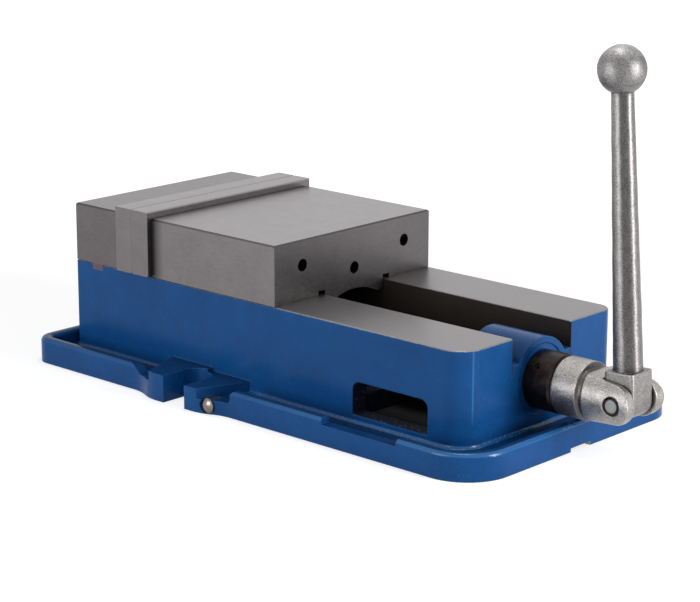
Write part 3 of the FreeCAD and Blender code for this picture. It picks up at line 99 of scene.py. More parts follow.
class Value:
    """A number, vector or colour in a shader tree. Arithmetic on it adds the nodes that work it out."""

    def __init__(self, socket: bpy.types.NodeSocket) -> None:
        """Keeps the socket that carries the value."""
        self.socket = socket

    def node(self, kind: str, values: dict[str | int, Any], **settings: Any) -> Node:
        """Adds a node to this value's tree, as put does."""
        return put(self.socket.id_data, kind, values, **settings)

    def math(self, operation: str, *terms: "Term") -> "Value":
        """A Math node's result from the terms, which hold this value."""
        return Value(self.node("Math", dict(enumerate(terms)), operation=operation).outputs[0])

    def __add__(self, other: "Term") -> "Value":
        """The sum."""
        return self.math("ADD", self, other)

    def __sub__(self, other: "Term") -> "Value":
        """The difference."""
        return self.math("SUBTRACT", self, other)

    def __rsub__(self, other: float) -> "Value":
        """A number less this value."""
        return self.math("SUBTRACT", other, self)

    def __mul__(self, other: "Term") -> "Value":
        """The product, as of two masks that must both hold."""
        return self.math("MULTIPLY", self, other)

    def __rtruediv__(self, other: float) -> "Value":
        """A number over this value."""
        return self.math("DIVIDE", other, self)

    def __abs__(self) -> "Value":
        """The value without its sign."""
        return self.math("ABSOLUTE", self)

    def above(self, limit: float) -> "Value":
        """1 where the value is greater than the limit."""
        return self.math("GREATER_THAN", self, limit)

    def below(self, limit: "Term") -> "Value":
        """1 where the value is less than the limit."""
        return self.math("LESS_THAN", self, limit)

    def near(self, middle: float, reach: float) -> "Value":
        """1 where the value lies within the reach of the middle."""
        return self.math("COMPARE", self, middle, reach)

    def most(self, *others: "Value") -> "Value":
        """The greatest of this value and the others, as masks of which one must hold."""
        return self.math("MAXIMUM", self, others[0] if len(others) == 1 else others[0].most(*others[1:]))

    def ramp(self, low: float, high: float, first: float = 0.0, last: float = 1.0) -> "Value":
        """The value mapped straight from low..high to first..last, and held at both ends."""
        limits = {"From Min": low, "From Max": high, "To Min": first, "To Max": last}
        return Value(self.node("MapRange", {"Value": self, **limits}).outputs[0])

    def spread(self, middle: float, swing: float) -> "Value":
        """A tone from 0 to 1 mapped to as much as the swing on both sides of the middle."""
        return self.ramp(0.0, 1.0, middle - swing, middle + swing)

    def sway(self, middle: float, swing: float) -> "Value":
        """The same for plain noise, which mostly lies between 0.3 and 0.7."""
        return self.ramp(0.3, 0.7, middle - swing, middle + swing)

    def fade(self, first: "Term", second: "Term") -> "Value":
        """A number that goes from the first to the second as this value goes from 0 to 1."""
        return Value(self.node("Mix", {0: self, 2: first, 3: second}, data_type="FLOAT").outputs[0])

    def blend(self, *colours: "Value | Triple") -> "Value":
        """A colour that goes from the first to the second as this value goes from 0 to 1."""
        first, second = (one if isinstance(one, Value) else (*one, 1.0) for one in colours)
        return Value(self.node("Mix", {0: self, 6: first, 7: second}, data_type="RGBA").outputs[2])

    def tint(self, colour: Triple) -> "Value":
        """The colour multiplied by this value."""
        return Value(self.node("VectorMath", {0: colour, 3: self}, operation="SCALE").outputs[0])

    def stretch(self, factors: Triple) -> "Value":
        """This point with each coordinate multiplied by a factor of its own."""
        return Value(self.node("VectorMath", {0: self, 1: factors}, operation="MULTIPLY").outputs[0])

    def parts(self) -> list["Value"]:
        """The three coordinates of this point."""
        return [Value(part) for part in self.node("SeparateXYZ", {0: self}).outputs]

    def noise(self, size: "Term", detail: float = 2.0, rough: float = 0.5) -> "Value":
        """Noise at this point whose lumps are about as large as size, in the point's own units."""
        values = {"Vector": self, "Scale": 1.0 / size, "Detail": detail, "Roughness": rough}
        return Value(self.node("TexNoise", values).outputs[0])


Term = float | Value


def distance(first: Value, second: Value) -> Value:
    """The root of the sum of two coordinates' squares."""
    return first.math("SQRT", first * first + second * second)


def layered(colour: Value, *coats: tuple[Value, Triple | Value]) -> Value:
    """A colour under coats of others, put on in turn.

    Args:
        colour: the colour underneath.
        coats: for each coat, its share and its colour.

    Returns:
        The colour that shows.
    """
    for share, coat in coats:
        colour = share.blend(colour, coat)
    return colour


def fresh_tree(owner: Material | bpy.types.World) -> Tree:
    """Switches on the nodes of a material or of the world.

    Args:
        owner: the material or world.

    Returns:
        Its tree, empty.
    """
    owner.use_nodes = True
    owner.node_tree.nodes.clear()
    return owner.node_tree


class Effects:
    """Shader node groups that more than one finish uses, each built once, and the materials made so far."""

    def __init__(self) -> None:
        """Builds every group."""
        self.made: dict[str, Material] = {}
        self.skin = self._group("cast_skin", ("Broad", "Lump"), ("Height", "Tone"), self._skin)
        self.flecks = self._group("flecks", ("Size", "Share"), ("Mask",), self._flecks)
        self.grain = self._group("ground_grain", ("Stroke",), ("Height", "Tone"), self._grain)
        self.edges = self._group("edge_wear_and_light", ("Width", "Gain"), ("Edge",), self._edges)
        # Corners and recesses: dirt and painted shade, darker where little of the sky is seen
        self.grime_and_shade = self._group("grime_and_shade", ("Reach",), ("Mask",), self._grime_and_shade)

    @staticmethod
    def _group(name: str, inputs: Sequence[str], outputs: Sequence[str],
               work: Callable[..., tuple[Value, ...]]) -> Tree:
        """Builds one group.

        Args:
            name: the group's name.
            inputs: the names of the numbers that a finish sets. A Point vector comes before them.
            outputs: the names of the values that come out.
            work: works those values out from the point and the numbers.

        Returns:
            The group's tree.
        """
        tree = bpy.data.node_groups.new(name, "ShaderNodeTree")
        tree.interface.new_socket(name="Point", in_out="INPUT", socket_type="NodeSocketVector")
        for side, titles in (("INPUT", inputs), ("OUTPUT", outputs)):
            for title in titles:
                tree.interface.new_socket(name=title, in_out=side, socket_type="NodeSocketFloat")
        given = tree.nodes.new("NodeGroupInput").outputs
        results = work(*(Value(given[title]) for title in ("Point", *inputs)))
        end = tree.nodes.new("NodeGroupOutput").inputs
        for title, result in zip(outputs, results):
            tree.links.new(result.socket, end[title])
        return tree

    @staticmethod
    def _skin(point: Value, broad: Value, lump: Value) -> tuple[Value, Value]:
        """Uneven skin of a casting: broad waves, lumps and a fine tooth, as a height and a tone."""
        wave, bump, tooth = point.noise(broad), point.noise(lump, 3.0, 0.6), point.noise(0.35)
        return wave * 0.5 + bump * 0.38 + tooth * 0.12, (bump * 0.5 + wave).ramp(0.5, 1.0)

    @staticmethod
    def _flecks(point: Value, size: Value, share: Value) -> tuple[Value]:
        """Small round spots: a cell has one if its random colour is in the share.

        Args:
            point: the place.
            size: a cell's size, in millimetres.
            share: the share of the cells that have a spot.

        Returns:
            The mask of the spots.
        """
        cells = point.node("TexVoronoi", {"Vector": point, "Scale": 1.0 / size}).outputs
        chance = Value(point.node("SeparateColor", {0: Value(cells["Color"])}).outputs[0])
        return (chance.below(share) * Value(cells["Distance"]).ramp(0.42, 0.2),)

    @staticmethod
    def _grain(point: Value, stroke: Value) -> tuple[Value, Value]:
        """Marks of a grinding wheel: long and short scratches, along the way that the point is stretched."""
        coarse, fine = point.noise(stroke, 4.0, 0.65), point.noise(stroke * 0.3)
        return coarse * 0.6 + fine * 0.4, coarse.ramp(0.3, 0.7)

    @staticmethod
    def _edges(point: Value, width: Value, gain: Value) -> tuple[Value]:
        """Corners, for wear and for painted highlights and shade: 1 less the match of the surface's own
        normal with one rounded over the width.

        Args:
            point: the place.
            width: how far the rounding reaches, in millimetres.
            gain: how strongly a small mismatch counts.

        Returns:
            The mask of the corners, from 0 to 1.
        """
        rounded = Value(width.node("Bevel", {"Radius": width * MM}, samples=CORNER_SAMPLES).outputs[0])
        true = Value(width.node("NewGeometry", {}).outputs["Normal"])
        match = rounded.node("VectorMath", {0: rounded, 1: true}, operation="DOT_PRODUCT").outputs["Value"]
        worn = (1.0 - Value(match)) * gain * point.noise(1.1, 3.0).ramp(0.25, 0.6, 0.4, 1.0)
        return (worn.math("MINIMUM", worn, 1.0),)

    @staticmethod
    def _grime_and_shade(point: Value, reach: Value) -> tuple[Value]:
        """Dirt and painted shade in corners and under edges, from how much sky a point misses within the
        reach.

        Args:
            point: the place.
            reach: how far off a surface may be that hides the sky, in millimetres.

        Returns:
            Dirt and painted shade, from 0 to 1.
        """
        sky = reach.node("AmbientOcclusion", {"Distance": reach * MM}, samples=SKY_SAMPLES).outputs["AO"]
        dirt_and_shade = (1.0 - Value(sky)) * point.noise(3.0, 3.0).ramp(0.3, 0.7, 0.6, 1.2)
        return (dirt_and_shade.math("MINIMUM", dirt_and_shade, 1.0),)


class Surface:
    """What a finish works with: the shared effects, and each point's place and normal on its object."""

    def __init__(self, tree: Tree, effects: Effects) -> None:
        """Reads the object coordinates, in millimetres, and the object's own normal.

        Args:
            tree: the material's node tree.
            effects: the shared node groups.
        """
        place = put(tree, "TexCoord").outputs
        self.effects = effects
        self.point = Value(place["Object"]).stretch((1.0 / MM,) * 3)
        self.normal = Value(place["Normal"])

    def _place(self, effect: Tree, point: Value, **values: float) -> list[Value]:
        """Places a shared effect with its own values, and gives all that it puts out."""
        node = point.node("Group", {"Point": point, **values}, node_tree=effect)
        return [Value(socket) for socket in node.outputs]

    def skin(self, broad: float, lump: float) -> list[Value]:
        """Height and tone of a casting's skin."""
        return self._place(self.effects.skin, self.point, Broad=broad, Lump=lump)

    def grain(self, factors: Triple, stroke: float) -> list[Value]:
        """Height and tone of tool marks, long where a factor is small."""
        return self._place(self.effects.grain, self.point.stretch(factors), Stroke=stroke)

    def flecks(self, size: float, share: float) -> Value:
        """Scattered spots of about that size, in that share of the cells."""
        return self._place(self.effects.flecks, self.point, Size=size, Share=share)[0]

    def edges(self, width: float, gain: float) -> Value:
        """The corners, for wear and for painted highlights and shade."""
        return self._place(self.effects.edges, self.point, Width=width, Gain=gain)[0]

    def grime_and_shade(self, reach: float) -> Value:
        """Dirt and painted shade where other surfaces are within the reach."""
        return self._place(self.effects.grime_and_shade, self.point, Reach=reach)[0]


class Finish(ABC):
    """How one kind of surface looks. A finish makes one material, which all its pieces share.

    Its rounding is the radius that its corners are shaded with, and its depth that of its bump.
    """

    name: str
    rounding = 0.4
    depth = 0.01

    @abstractmethod
    def shade(self, s: Surface) -> dict[str, Any]:
        """Works the surface out.

        Args:
            s: the surface to shade.

        Returns:
            The values and sockets of the Principled shader, and the Height of its bump.
        """

    def material(self, effects: Effects) -> Material:
        """Makes the material, or finds it if it is made.

        Args:
            effects: the shared node groups.

        Returns:
            The material.
        """
        if self.name in effects.made:
            return effects.made[self.name]
        material = effects.made[self.name] = bpy.data.materials.new(self.name)
        tree = fresh_tree(material)
        values = self.shade(Surface(tree, effects))
        soft = Value(put(tree, "Bevel", {"Radius": self.rounding * MM}, samples=CORNER_SAMPLES).outputs[0])
        bump = {"Height": values.pop("Height"), "Distance": self.depth * MM, "Normal": soft}
        values["Normal"] = Value(put(tree, "Bump", bump).outputs[0])
        shader = put(tree, "BsdfPrincipled", values).outputs[0]
        put(tree, "OutputMaterial", {"Surface": Value(shader)})
        return material

    def dress(self, effects: Effects, *pieces: Piece) -> None:
        """Gives the material to each piece, in the slots it has or in a new one.

        Args:
            effects: the shared node groups.
            pieces: the pieces to dress.
        """
        material = self.material(effects)
        for piece in pieces:
            if not piece.material_slots:
                piece.data.materials.append(material)
            for slot in piece.material_slots:
                slot.material = material


NEAR_BLACK = (0.02, 0.017, 0.016)
BROWN_OIL_AND_SHADE = (0.035, 0.026, 0.018)
OILY_DIRT_AND_SHADE = (0.03, 0.024, 0.02)
DEEP_DIRT_AND_SHADE = (0.018, 0.014, 0.012)
RUST_SMUDGE = (0.13, 0.085, 0.09)
SCALE_AND_SHADE = (0.025, 0.02, 0.018)
NECK_SHADE = (0.035, 0.03, 0.028)
FORGED_EDGE = (0.6, 0.59, 0.57)
TURNED_EDGE = (0.62, 0.6, 0.57)
EDGE_SHADE = (0.03, 0.026, 0.026)


@dataclass(frozen=True)
class GroundSteel(Finish):
    """Surface ground steel: fine strokes, faint mottling, and corners bright with wear, or on the jaws dark
    with painted shade.
    """

    name: str
    colour: Triple
    roughness: float = 0.36
    mottle: float = 0.16
    edge: float = 0.5
    edge_colour: Triple = (0.55, 0.54, 0.53)
    corner: float = 0.0
    smudge: Triple = (900.0, 900.0, 1.0)
    dirt_and_shade: float = 0.45
    dirt_and_shade_reach: float = 6.0
    top_light_gain: float = 1.6
    end_shade_gain: float = 1.0
    plate_shadow_start: float = 500.0
    plate_shadow_reach: float = 9.0
    level = 0.7
    slant = 0.9
    long_stroke = 0.06
    stroke = 0.55
    smudge_fade = 1.5
    rounding = 0.15
    depth = 0.006

    def shade(self, s: Surface) -> dict[str, Any]:
        """Strokes run across the object on its top and ends, and along it on its sides.

        A smudge lies on the sides round a place, given by its X, its Z and its reach, and a painted shadow
        darkens the sides ahead of its start, as beside a proud plate.

        Args:
            s: the surface to shade.

        Returns:
            The shader's values, and the bump's Height.
        """
        facing = s.normal.parts()
        steps = [abs(part) for part in facing]
        end, side, top = steps[0].above(self.level), steps[1].above(self.level), facing[2].above(self.level)
        across = s.grain((1.0, self.long_stroke, 1.0), self.stroke)
        length = s.grain((self.long_stroke, 1.0, 1.0), self.stroke)
        height, stroke = (side.fade(*pair) for pair in zip(across, length))
        cloud, mottle = s.point.noise(14.0, 4.0, 0.6), s.point.noise(0.9)
        tone = cloud.sway(0.0, 0.06) + stroke.spread(0.0, 0.06) + mottle.sway(1.0, self.mottle / 2)
        # Painted light: faces that look up are made brighter, and ends darker, by their gains
        tone = tone * top.fade(1.0, self.top_light_gain) * end.fade(1.0, self.end_shade_gain)
        # Chamfers: faces whose normal lies off the axes, coloured like the corners below
        broken = steps[0].most(*steps[1:]).below(self.slant) * self.corner
        x, _, z = s.point.parts()
        middle, level, reach = self.smudge
        ragged, smudge = cloud.sway(0.0, 1.5), side
        for place, centre in ((x, middle), (z, level)):
            smudge = smudge * (abs(place - centre) + ragged).ramp(reach, reach - self.smudge_fade)
        # Painted shadow: the sides darken ahead of the start, fading over the reach
        plate_shadow = x.ramp(self.plate_shadow_start, self.plate_shadow_start + self.plate_shadow_reach, 0.9, 0.0)
        colour = layered(
            tone.tint(self.colour),
            # Corners and chamfers take the edge colour: bright wear on most steels, painted shade on the jaws
            ((s.edges(0.35, 5.0) * self.edge).most(broken), self.edge_colour),
            # Oily dirt and painted shade in the corners and beside raised parts
            (s.grime_and_shade(self.dirt_and_shade_reach) * self.dirt_and_shade, OILY_DIRT_AND_SHADE),
            (smudge * 0.5, RUST_SMUDGE),
            (plate_shadow * side * x.above(self.plate_shadow_start - 1.0), NEAR_BLACK),
        )
        rough = mottle.sway(self.roughness, 0.05)
        return {"Base Color": colour, "Metallic": 1.0, "Roughness": rough, "Height": height}


@dataclass(frozen=True)
class ForgedSteel(Finish):
    """Forged and tumbled steel: satin, speckled, with dark pits left by scale."""

    name: str
    colour: Triple
    roughness: float
    pit_share: float = 0.2
    depth: float = 0.035
    foot: float = 400.0
    drawn: float = 0.0
    drawn_along: Triple = (0.0, 0.0, 1.0)
    rear_highlight: float = 1.0
    front_highlight: float = 1.0
    crown_highlight: float = 1.0
    neck: tuple[float, float] = (900.0, 1.0)
    foot_fade = 4.5

    def shade(self, s: Surface) -> dict[str, Any]:
        """Speckle is fine noise; pits are scattered flecks, both in the colour and in the height.

        Faces that look to the rear, to the front, up or down may get painted highlights, as gains on their
        tone.
        Painted shade darkens a neck, given by the X of its middle and its half width, and just above the
        foot.

        Args:
            s: the surface to shade.

        Returns:
            The shader's values, and the bump's Height.
        """
        height, lumps_tone = s.skin(7.0, 1.3)
        pits = s.flecks(0.8, self.pit_share) * s.point.noise(9.0, 3.0).ramp(0.42, 0.58)
        speckle = s.point.noise(0.8, 4.0, 0.75)
        x, _, z = s.point.parts()
        forward, _, upward = s.normal.parts()
        tone = speckle.ramp(0.36, 0.64, 0.5, 1.5) + lumps_tone.spread(0.0, 0.12)
        # Painted highlights: faces to the rear, to the front, up and down made brighter by their gains
        tone = tone * forward.ramp(0.40, 0.15, 1.0, self.rear_highlight)
        tone = tone * forward.ramp(0.89, 0.95, 1.0, self.front_highlight)
        tone = tone * abs(upward).ramp(0.5, 0.85, 1.0, self.crown_highlight)
        middle, half = self.neck
        colour = layered(
            tone.tint(self.colour),
            (pits * 0.75, SCALE_AND_SHADE),
            (s.edges(0.5, 5.0) * 0.6, FORGED_EDGE),
            # Dirt and painted shade in the corners
            (s.grime_and_shade(3.5) * 0.75, DEEP_DIRT_AND_SHADE),
            # Painted shade just above the foot and on the neck; the same colour is the scale in the pits
            (z.above(self.foot) * z.ramp(self.foot, self.foot + self.foot_fade, 0.75, 0.0), SCALE_AND_SHADE),
            (abs(x - middle).ramp(half, half - 1.0, 0.0, 0.75), NECK_SHADE),
        )
        grain = x.node("VectorTransform", {0: self.drawn_along}, vector_type="VECTOR",
                       convert_from="OBJECT", convert_to="WORLD").outputs[0]
        return {
            "Base Color": colour,
            "Metallic": 1.0,
            "Roughness": speckle.sway(self.roughness, 0.06),
            "Anisotropic": self.drawn,
            "Tangent": Value(grain),
            "Height": height + speckle * 0.25 - pits,
        }


@dataclass(frozen=True)
class TurnedSteel(Finish):
    """Steel off a lathe: tool marks round its axis, slightly oily."""

    name: str
    colour: Triple = (0.26, 0.252, 0.243)
    roughness: float = 0.3
    marks: Triple = (1.0, 0.02, 0.02)
    rim: Triple = (0.0, 0.0, 900.0)

    def shade(self, s: Surface) -> dict[str, Any]:
        """Tool marks are noise stretched round the axis; oil and painted shade gather in the corners, and the
        surface is near black outside a rim.

        Args:
            s: the surface to shade.

        Returns:
            The shader's values, and the bump's Height.
        """
        height, marks = s.grain(self.marks, 0.22)
        film = s.point.noise(5.0, 3.0)
        x, _, z = s.point.parts()
        middle, level, radius = self.rim
        colour = layered(
            (marks.spread(1.0, 0.1) + film.sway(0.0, 0.06)).tint(self.colour),
            (s.edges(0.3, 5.0) * 0.5, TURNED_EDGE),
            # Oil and painted shade in the corners
            (s.grime_and_shade(2.5) * 0.6, BROWN_OIL_AND_SHADE),
            (distance(x - middle, z - level).ramp(radius, radius + 0.3, 0.0, 0.9), NEAR_BLACK),
        )
        rough = film.ramp(0.3, 0.7, -0.05, 0.08) + self.roughness
        return {"Base Color": colour, "Metallic": 1.0, "Roughness": rough, "Height": height}


@dataclass(frozen=True)
class BlackOxide(Finish):
    """Blackened steel: brown-black, worn thin on its corners."""

    name: str = "blackened_steel"
    colour: Triple = (0.020, 0.0135, 0.0135)
    bloom: Triple = (0.034, 0.022, 0.018)
    worn: Triple = (0.16, 0.14, 0.13)
    roughness: float = 0.38
    depth = 0.008

    def shade(self, s: Surface) -> dict[str, Any]:
        """Clouds of brown in the black, with steel showing where corners rub.

        Args:
            s: the surface to shade.

        Returns:
            The shader's values, and the bump's Height.
        """
        cloud = s.point.noise(6.0, 4.0, 0.6)
        height, marks = s.grain((1.0, 0.05, 0.05), 0.3)
        colour = layered(
            (cloud.sway(1.0, 0.2) + marks.spread(0.0, 0.1)).tint(self.colour),
            (cloud.ramp(0.45, 0.65), self.bloom),
            (s.edges(0.4, 3.0) * 0.35, self.worn),
        )
        rough = cloud.sway(self.roughness, 0.06)
        return {"Base Color": colour, "Metallic": 0.85, "Roughness": rough, "Height": height}


@dataclass(frozen=True)
class NutIron(Finish):
    """Machined cast iron: dark grey, grainy and oily."""

    name: str = "machined_iron"
    colour: Triple = (0.085, 0.08, 0.078)
    pore: Triple = (0.015, 0.013, 0.012)
    worn: Triple = (0.3, 0.29, 0.28)
    roughness: float = 0.45
    depth = 0.02

    def shade(self, s: Surface) -> dict[str, Any]:
        """Milling strokes over the open grain of the iron.

        Args:
            s: the surface to shade.

        Returns:
            The shader's values, and the bump's Height.
        """
        tone = s.skin(12.0, 0.9)[1]
        height, strokes = s.grain((0.05, 1.0, 1.0), 0.8)
        pores = s.flecks(0.6, 0.25)
        colour = layered(
            (strokes.spread(1.0, 0.12) + tone.spread(0.0, 0.1)).tint(self.colour),
            (pores * 0.6, self.pore),
            (s.edges(0.5, 5.0) * 0.5, self.worn),
        )
        rough = tone.ramp(0.0, 1.0, -0.05, 0.08) + self.roughness
        height = height - pores * 0.5
        return {"Base Color": colour, "Metallic": 1.0, "Roughness": rough, "Height": height}


@dataclass(frozen=True)
class CastingFinish(Finish):
    """Blue enamel over the bed casting, with bare ground rails, dark rail edges and a raw cavity."""

    name: str = "blue_enamel_casting"
    enamel: Triple = (0.0065, 0.0695, 0.233)
    painted_glint: Triple = (0.03, 0.2, 0.52)
    settled_dust_and_shade: Triple = (0.002, 0.012, 0.06)
    shaded: Triple = (0.003, 0.012, 0.045)
    thin: Triple = (0.06, 0.24, 0.52)
    crest: Triple = (0.05, 0.22, 0.5)
    pooled_paint_and_highlight: Triple = (0.014, 0.14, 0.37)
    bead_glint: Triple = (0.32, 0.48, 0.74)
    joint: Triple = (0.004, 0.012, 0.04)
    raw: Triple = (0.011, 0.012, 0.016)
    raw_cloud: Triple = (0.024, 0.036, 0.08)
    far_wall_painted_light: Triple = (0.18, 0.32, 0.52)
    grit_and_glints: Triple = (0.16, 0.3, 0.55)
    milled: Triple = (0.030, 0.024, 0.021)
    iron: Triple = (0.25, 0.239, 0.24)
    iron_edge_and_highlight: Triple = (0.6, 0.6, 0.6)
    iron_dirt_and_shade: Triple = (0.03, 0.026, 0.024)
    rail_top: float = 70.5
    rail_under: float = 48.0
    slot_half: float = 29.5
    cavity_half: float = 64.0
    wall_half: float = 76.0
    cavity_rear: float = -124.0
    cavity_front: float = 190.5
    keyway_half: float = 10.0
    keyway_top: float = 2.5
    screw_height: float = 39.0
    boss_front: float = 216.4
    ring_radius: float = 22.7
    trough_high: float = 30.0
    crest_facing: float = 0.92
    slack = 0.4
    rounding = 1.2
    depth = 0.055

    def _zones(self, s: Surface) -> dict[str, Value]:
        """Finds the unpainted places by where they lie on the casting.

        Args:
            s: the surface to shade.

        Returns:
            A mask for the ground faces, the rails' inner edges, the cavity, the line round the screw, the
            low faces that look up, which take painted shade, the cavity's far wall, which takes painted
            light, the crest of the front corners, which takes a painted highlight, all faces that look up,
            and the fillets and rims where enamel pools and a painted highlight lies.
        """
        x, side, z = s.point.parts()
        y, slack, high = abs(side), self.slack, self.trough_high
        forward, _, upward = s.normal.parts()
        top = (z + s.point.noise(1.3, 3.0).sway(0.0, 0.12)).ramp(self.rail_top - 0.7, self.rail_top - 0.5)
        keyway = y.below(self.keyway_half + slack / 2) * z.below(self.keyway_top + slack / 2)
        ground = top.most(z.below(0.25), keyway)
        wall = y.near(self.slot_half, slack) * z.above(self.rail_under - slack / 2)
        inside = y.below(self.wall_half - slack) * z.below(self.rail_under + 0.3)
        inside = inside * x.above(self.cavity_rear - slack) * x.below(self.cavity_front + slack)
        line = distance(y, z - self.screw_height).near(self.ring_radius, 0.22)
        # Painted highlight: a narrow band on the crest of the front corners
        crest = abs(forward - self.crest_facing).ramp(0.017, 0.008) * abs(upward).below(0.05)
        pooled = upward.ramp(0.15, 0.35) * upward.ramp(0.97, 0.9) * (1.0 - ground.most(inside, wall))
        return {
            "ground": ground,
            "wall": wall,
            "inside": inside,
            "line": line * x.above(self.boss_front - 1.0),
            "low": upward.ramp(0.5, 0.9) * z.ramp(high, high - 3.0),
            "far": inside * side.ramp(self.cavity_half - 6.0, self.cavity_half - 2.0),
            "crest": crest * x.above(self.cavity_front) * z.ramp(high - 8.0, high + 4.0),
            "up": upward.ramp(0.3, 0.8),
            "pooled": pooled * z.ramp(high + 2.0, high) * x.ramp(40.0, 150.0, 0.35, 1.0),
        }

    def _paint(self, s: Surface, zone: dict[str, Value], tone: Value, grime_and_shade: Value, edge: Value) -> Value:
        """Enamel: clouded, with soiling and painted shade in corners, painted shade on low faces, thin on
        edges, and painted highlights and glints on edges, the corners' crests and the fillets.

        Args:
            s: the surface to shade.
            zone: the masks of the casting's places.
            tone: the skin's tone.
            grime_and_shade: soiling and painted shade in the corners.
            edge: wear on the edges, which also carries painted highlights.

        Returns:
            The paint's colour.
        """
        tone = s.point.noise(30.0, 4.0, 0.6).ramp(0.3, 0.7, 0.9, 1.08) + tone.spread(0.0, 0.05)
        # Painted glints on drops of enamel in the fillets
        bead_glints = s.flecks(1.3, 0.3) * zone["pooled"] * grime_and_shade.ramp(0.1, 0.3)
        return layered(
            tone.tint(self.enamel),
            # Painted glints: scattered light flecks in the enamel
            (s.flecks(1.1, 0.1) * 0.3, self.painted_glint),
            # Dust and painted shade in the corners, stronger on faces that look up
            (grime_and_shade * zone["up"].fade(0.25, 0.75), self.settled_dust_and_shade),
            # Painted shade on the low faces that look up
            (zone["low"] * 0.5, self.shaded),
            # Thin enamel on worn edges, lightened further as a painted highlight
            (edge * 0.55, self.thin),
            # Painted highlight on the crest of the front corners
            (zone["crest"] * 0.5, self.crest),
            # Enamel pooled in fillets and rims, lightened as a painted highlight
            (zone["pooled"] * 0.55, self.pooled_paint_and_highlight),
            (bead_glints * 0.8, self.bead_glint),
            (zone["line"], self.joint),
        )

    def shade(self, s: Surface) -> dict[str, Any]:
        """Enamel, raw iron, machined iron and ground iron, each where its zone is.

        Args:
            s: the surface to shade.

        Returns:
            The shader's values, and the bump's Height.
        """
        zone = self._zones(s)
        height, tone = s.skin(11.0, 1.5)
        grime_and_shade, edge = s.grime_and_shade(14.0), s.edges(0.9, 4.0)
        raw = layered(
            s.point.noise(4.0, 4.0).blend(self.raw, self.raw_cloud),
            # Painted light on the cavity's far wall
            (zone["far"], self.far_wall_painted_light),
            # Light flecks in the cavity: grit, painted as glints
            (s.flecks(1.7, 0.16) * 0.8, self.grit_and_glints),
        )
        milling, milled = s.grain((0.05, 1.0, 1.0), 0.8)
        grinding, bright = s.grain((1.0, 0.06, 1.0), 0.6)
        mottle = s.point.noise(1.2, 3.0, 0.6)
        iron = layered(
            (bright.spread(1.0, 0.07) + mottle.sway(0.0, 0.05)).tint(self.iron),
            # Worn bright edges of the ground iron, lightened further as a painted highlight
            (edge * 0.5, self.iron_edge_and_highlight),
            # Dirt and painted shade in the iron's corners
            (grime_and_shade * 0.35, self.iron_dirt_and_shade),
        )
        colour = layered(
            self._paint(s, zone, tone, grime_and_shade, edge),
            (zone["inside"], raw),
            (zone["wall"], milled.spread(1.0, 0.15).tint(self.milled)),
            (zone["ground"], iron),
        )
        coarse = s.point.parts()[0].ramp(self.cavity_front, self.boss_front, 1.0, 3.2)
        rough = zone["inside"].fade(tone.ramp(0.0, 1.0, 0.21, 0.29), 0.42)
        rough = zone["ground"].fade(zone["wall"].fade(rough, 0.5), mottle.sway(0.37, 0.05))
        height = zone["wall"].fade(height * zone["inside"].fade(coarse, 3.0), milling * 0.2)
        height = zone["ground"].fade(height, grinding * 0.12)
        return {
            "Base Color": colour,
            "Metallic": zone["ground"],
            "Roughness": rough,
            "Specular IOR Level": 0.11,
            "Coat Weight": zone["pooled"] * 0.5,
            "Coat Roughness": 0.2,
            "Height": height,
        }


# The jaws' corners and chamfers take painted shade, their tops painted light, and the movable jaw painted
# shade on its ends
FIXED_JAW_STEEL = GroundSteel("ground_fixed_jaw", (0.1215, 0.1105, 0.1145), edge_colour=EDGE_SHADE, dirt_and_shade=0.7,
                              smudge=(-114.5, 71.5, 5.0), top_light_gain=1.68, corner=0.7)
JAW_STEEL = GroundSteel("ground_jaw", (0.161, 0.150, 0.1545), edge_colour=EDGE_SHADE, dirt_and_shade=0.9,
                        dirt_and_shade_reach=9.0, plate_shadow_start=-59.0, plate_shadow_reach=12.0, top_light_gain=1.86, end_shade_gain=0.75,
                        corner=0.7)
PLATE_STEEL = GroundSteel("ground_plate", (0.158, 0.1465, 0.151), roughness=0.33, mottle=0.12, edge=0.05,
                          dirt_and_shade=0.0, top_light_gain=1.72)
KEY_STEEL = GroundSteel("jaw_key_steel", (0.115, 0.078, 0.082), roughness=0.45, edge=0.2)
PLUG_STEEL = GroundSteel("plug_steel", (0.22, 0.19, 0.175), roughness=0.22, mottle=0.2)
PIN_STEEL = TurnedSteel("pin_steel", (0.33, 0.32, 0.31), roughness=0.36, marks=(0.3, 0.3, 0.3),
                        rim=(284.0, 39.0, 3.9))
SCREW_STEEL = TurnedSteel("turned_steel")
BEARING_STEEL = TurnedSteel("race_steel", (0.36, 0.36, 0.36), roughness=0.2)
# The block's front faces get a faint painted highlight
BLOCK_STEEL = ForgedSteel("block_steel", (0.205, 0.198, 0.194), 0.38, depth=0.03, front_highlight=1.1)
# The rod's dark colour stands in for the shade on its middle; its rear and front faces get painted highlights
ROD_STEEL = ForgedSteel("rod_steel", (0.102, 0.0985, 0.0975), 0.42, foot=57.5, drawn=0.6,
                        drawn_along=(-0.067, 0.05, 0.998), rear_highlight=2.3, front_highlight=1.9)
# The ball gets painted highlights on its top, bottom and rear
BALL_STEEL = ForgedSteel("ball_steel", (0.175, 0.1695, 0.168), 0.48, crown_highlight=2.0, rear_highlight=1.25)
# The clevis gets painted highlights on faces that look up and down, and painted shade on its neck
CLEVIS_STEEL = ForgedSteel("clevis_steel", (0.30, 0.285, 0.274), 0.40, pit_share=0.34, neck=(258.5, 2.7),
                           crown_highlight=1.35)
BLACK_OXIDE = BlackOxide()
NUT_IRON = NutIron()


@dataclass(frozen=True)
class Span:
    """The box of one node, in millimetres."""

    low: Array
    high: Array

    @property
    def middle(self) -> Array:
        """The box's centre."""
        return (self.low + self.high) / 2


def span(node: str) -> Span:
    """The box of a node of the frame, in millimetres."""
    low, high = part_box(node)
    return Span(np.array(low) / MM, np.array(high) / MM)


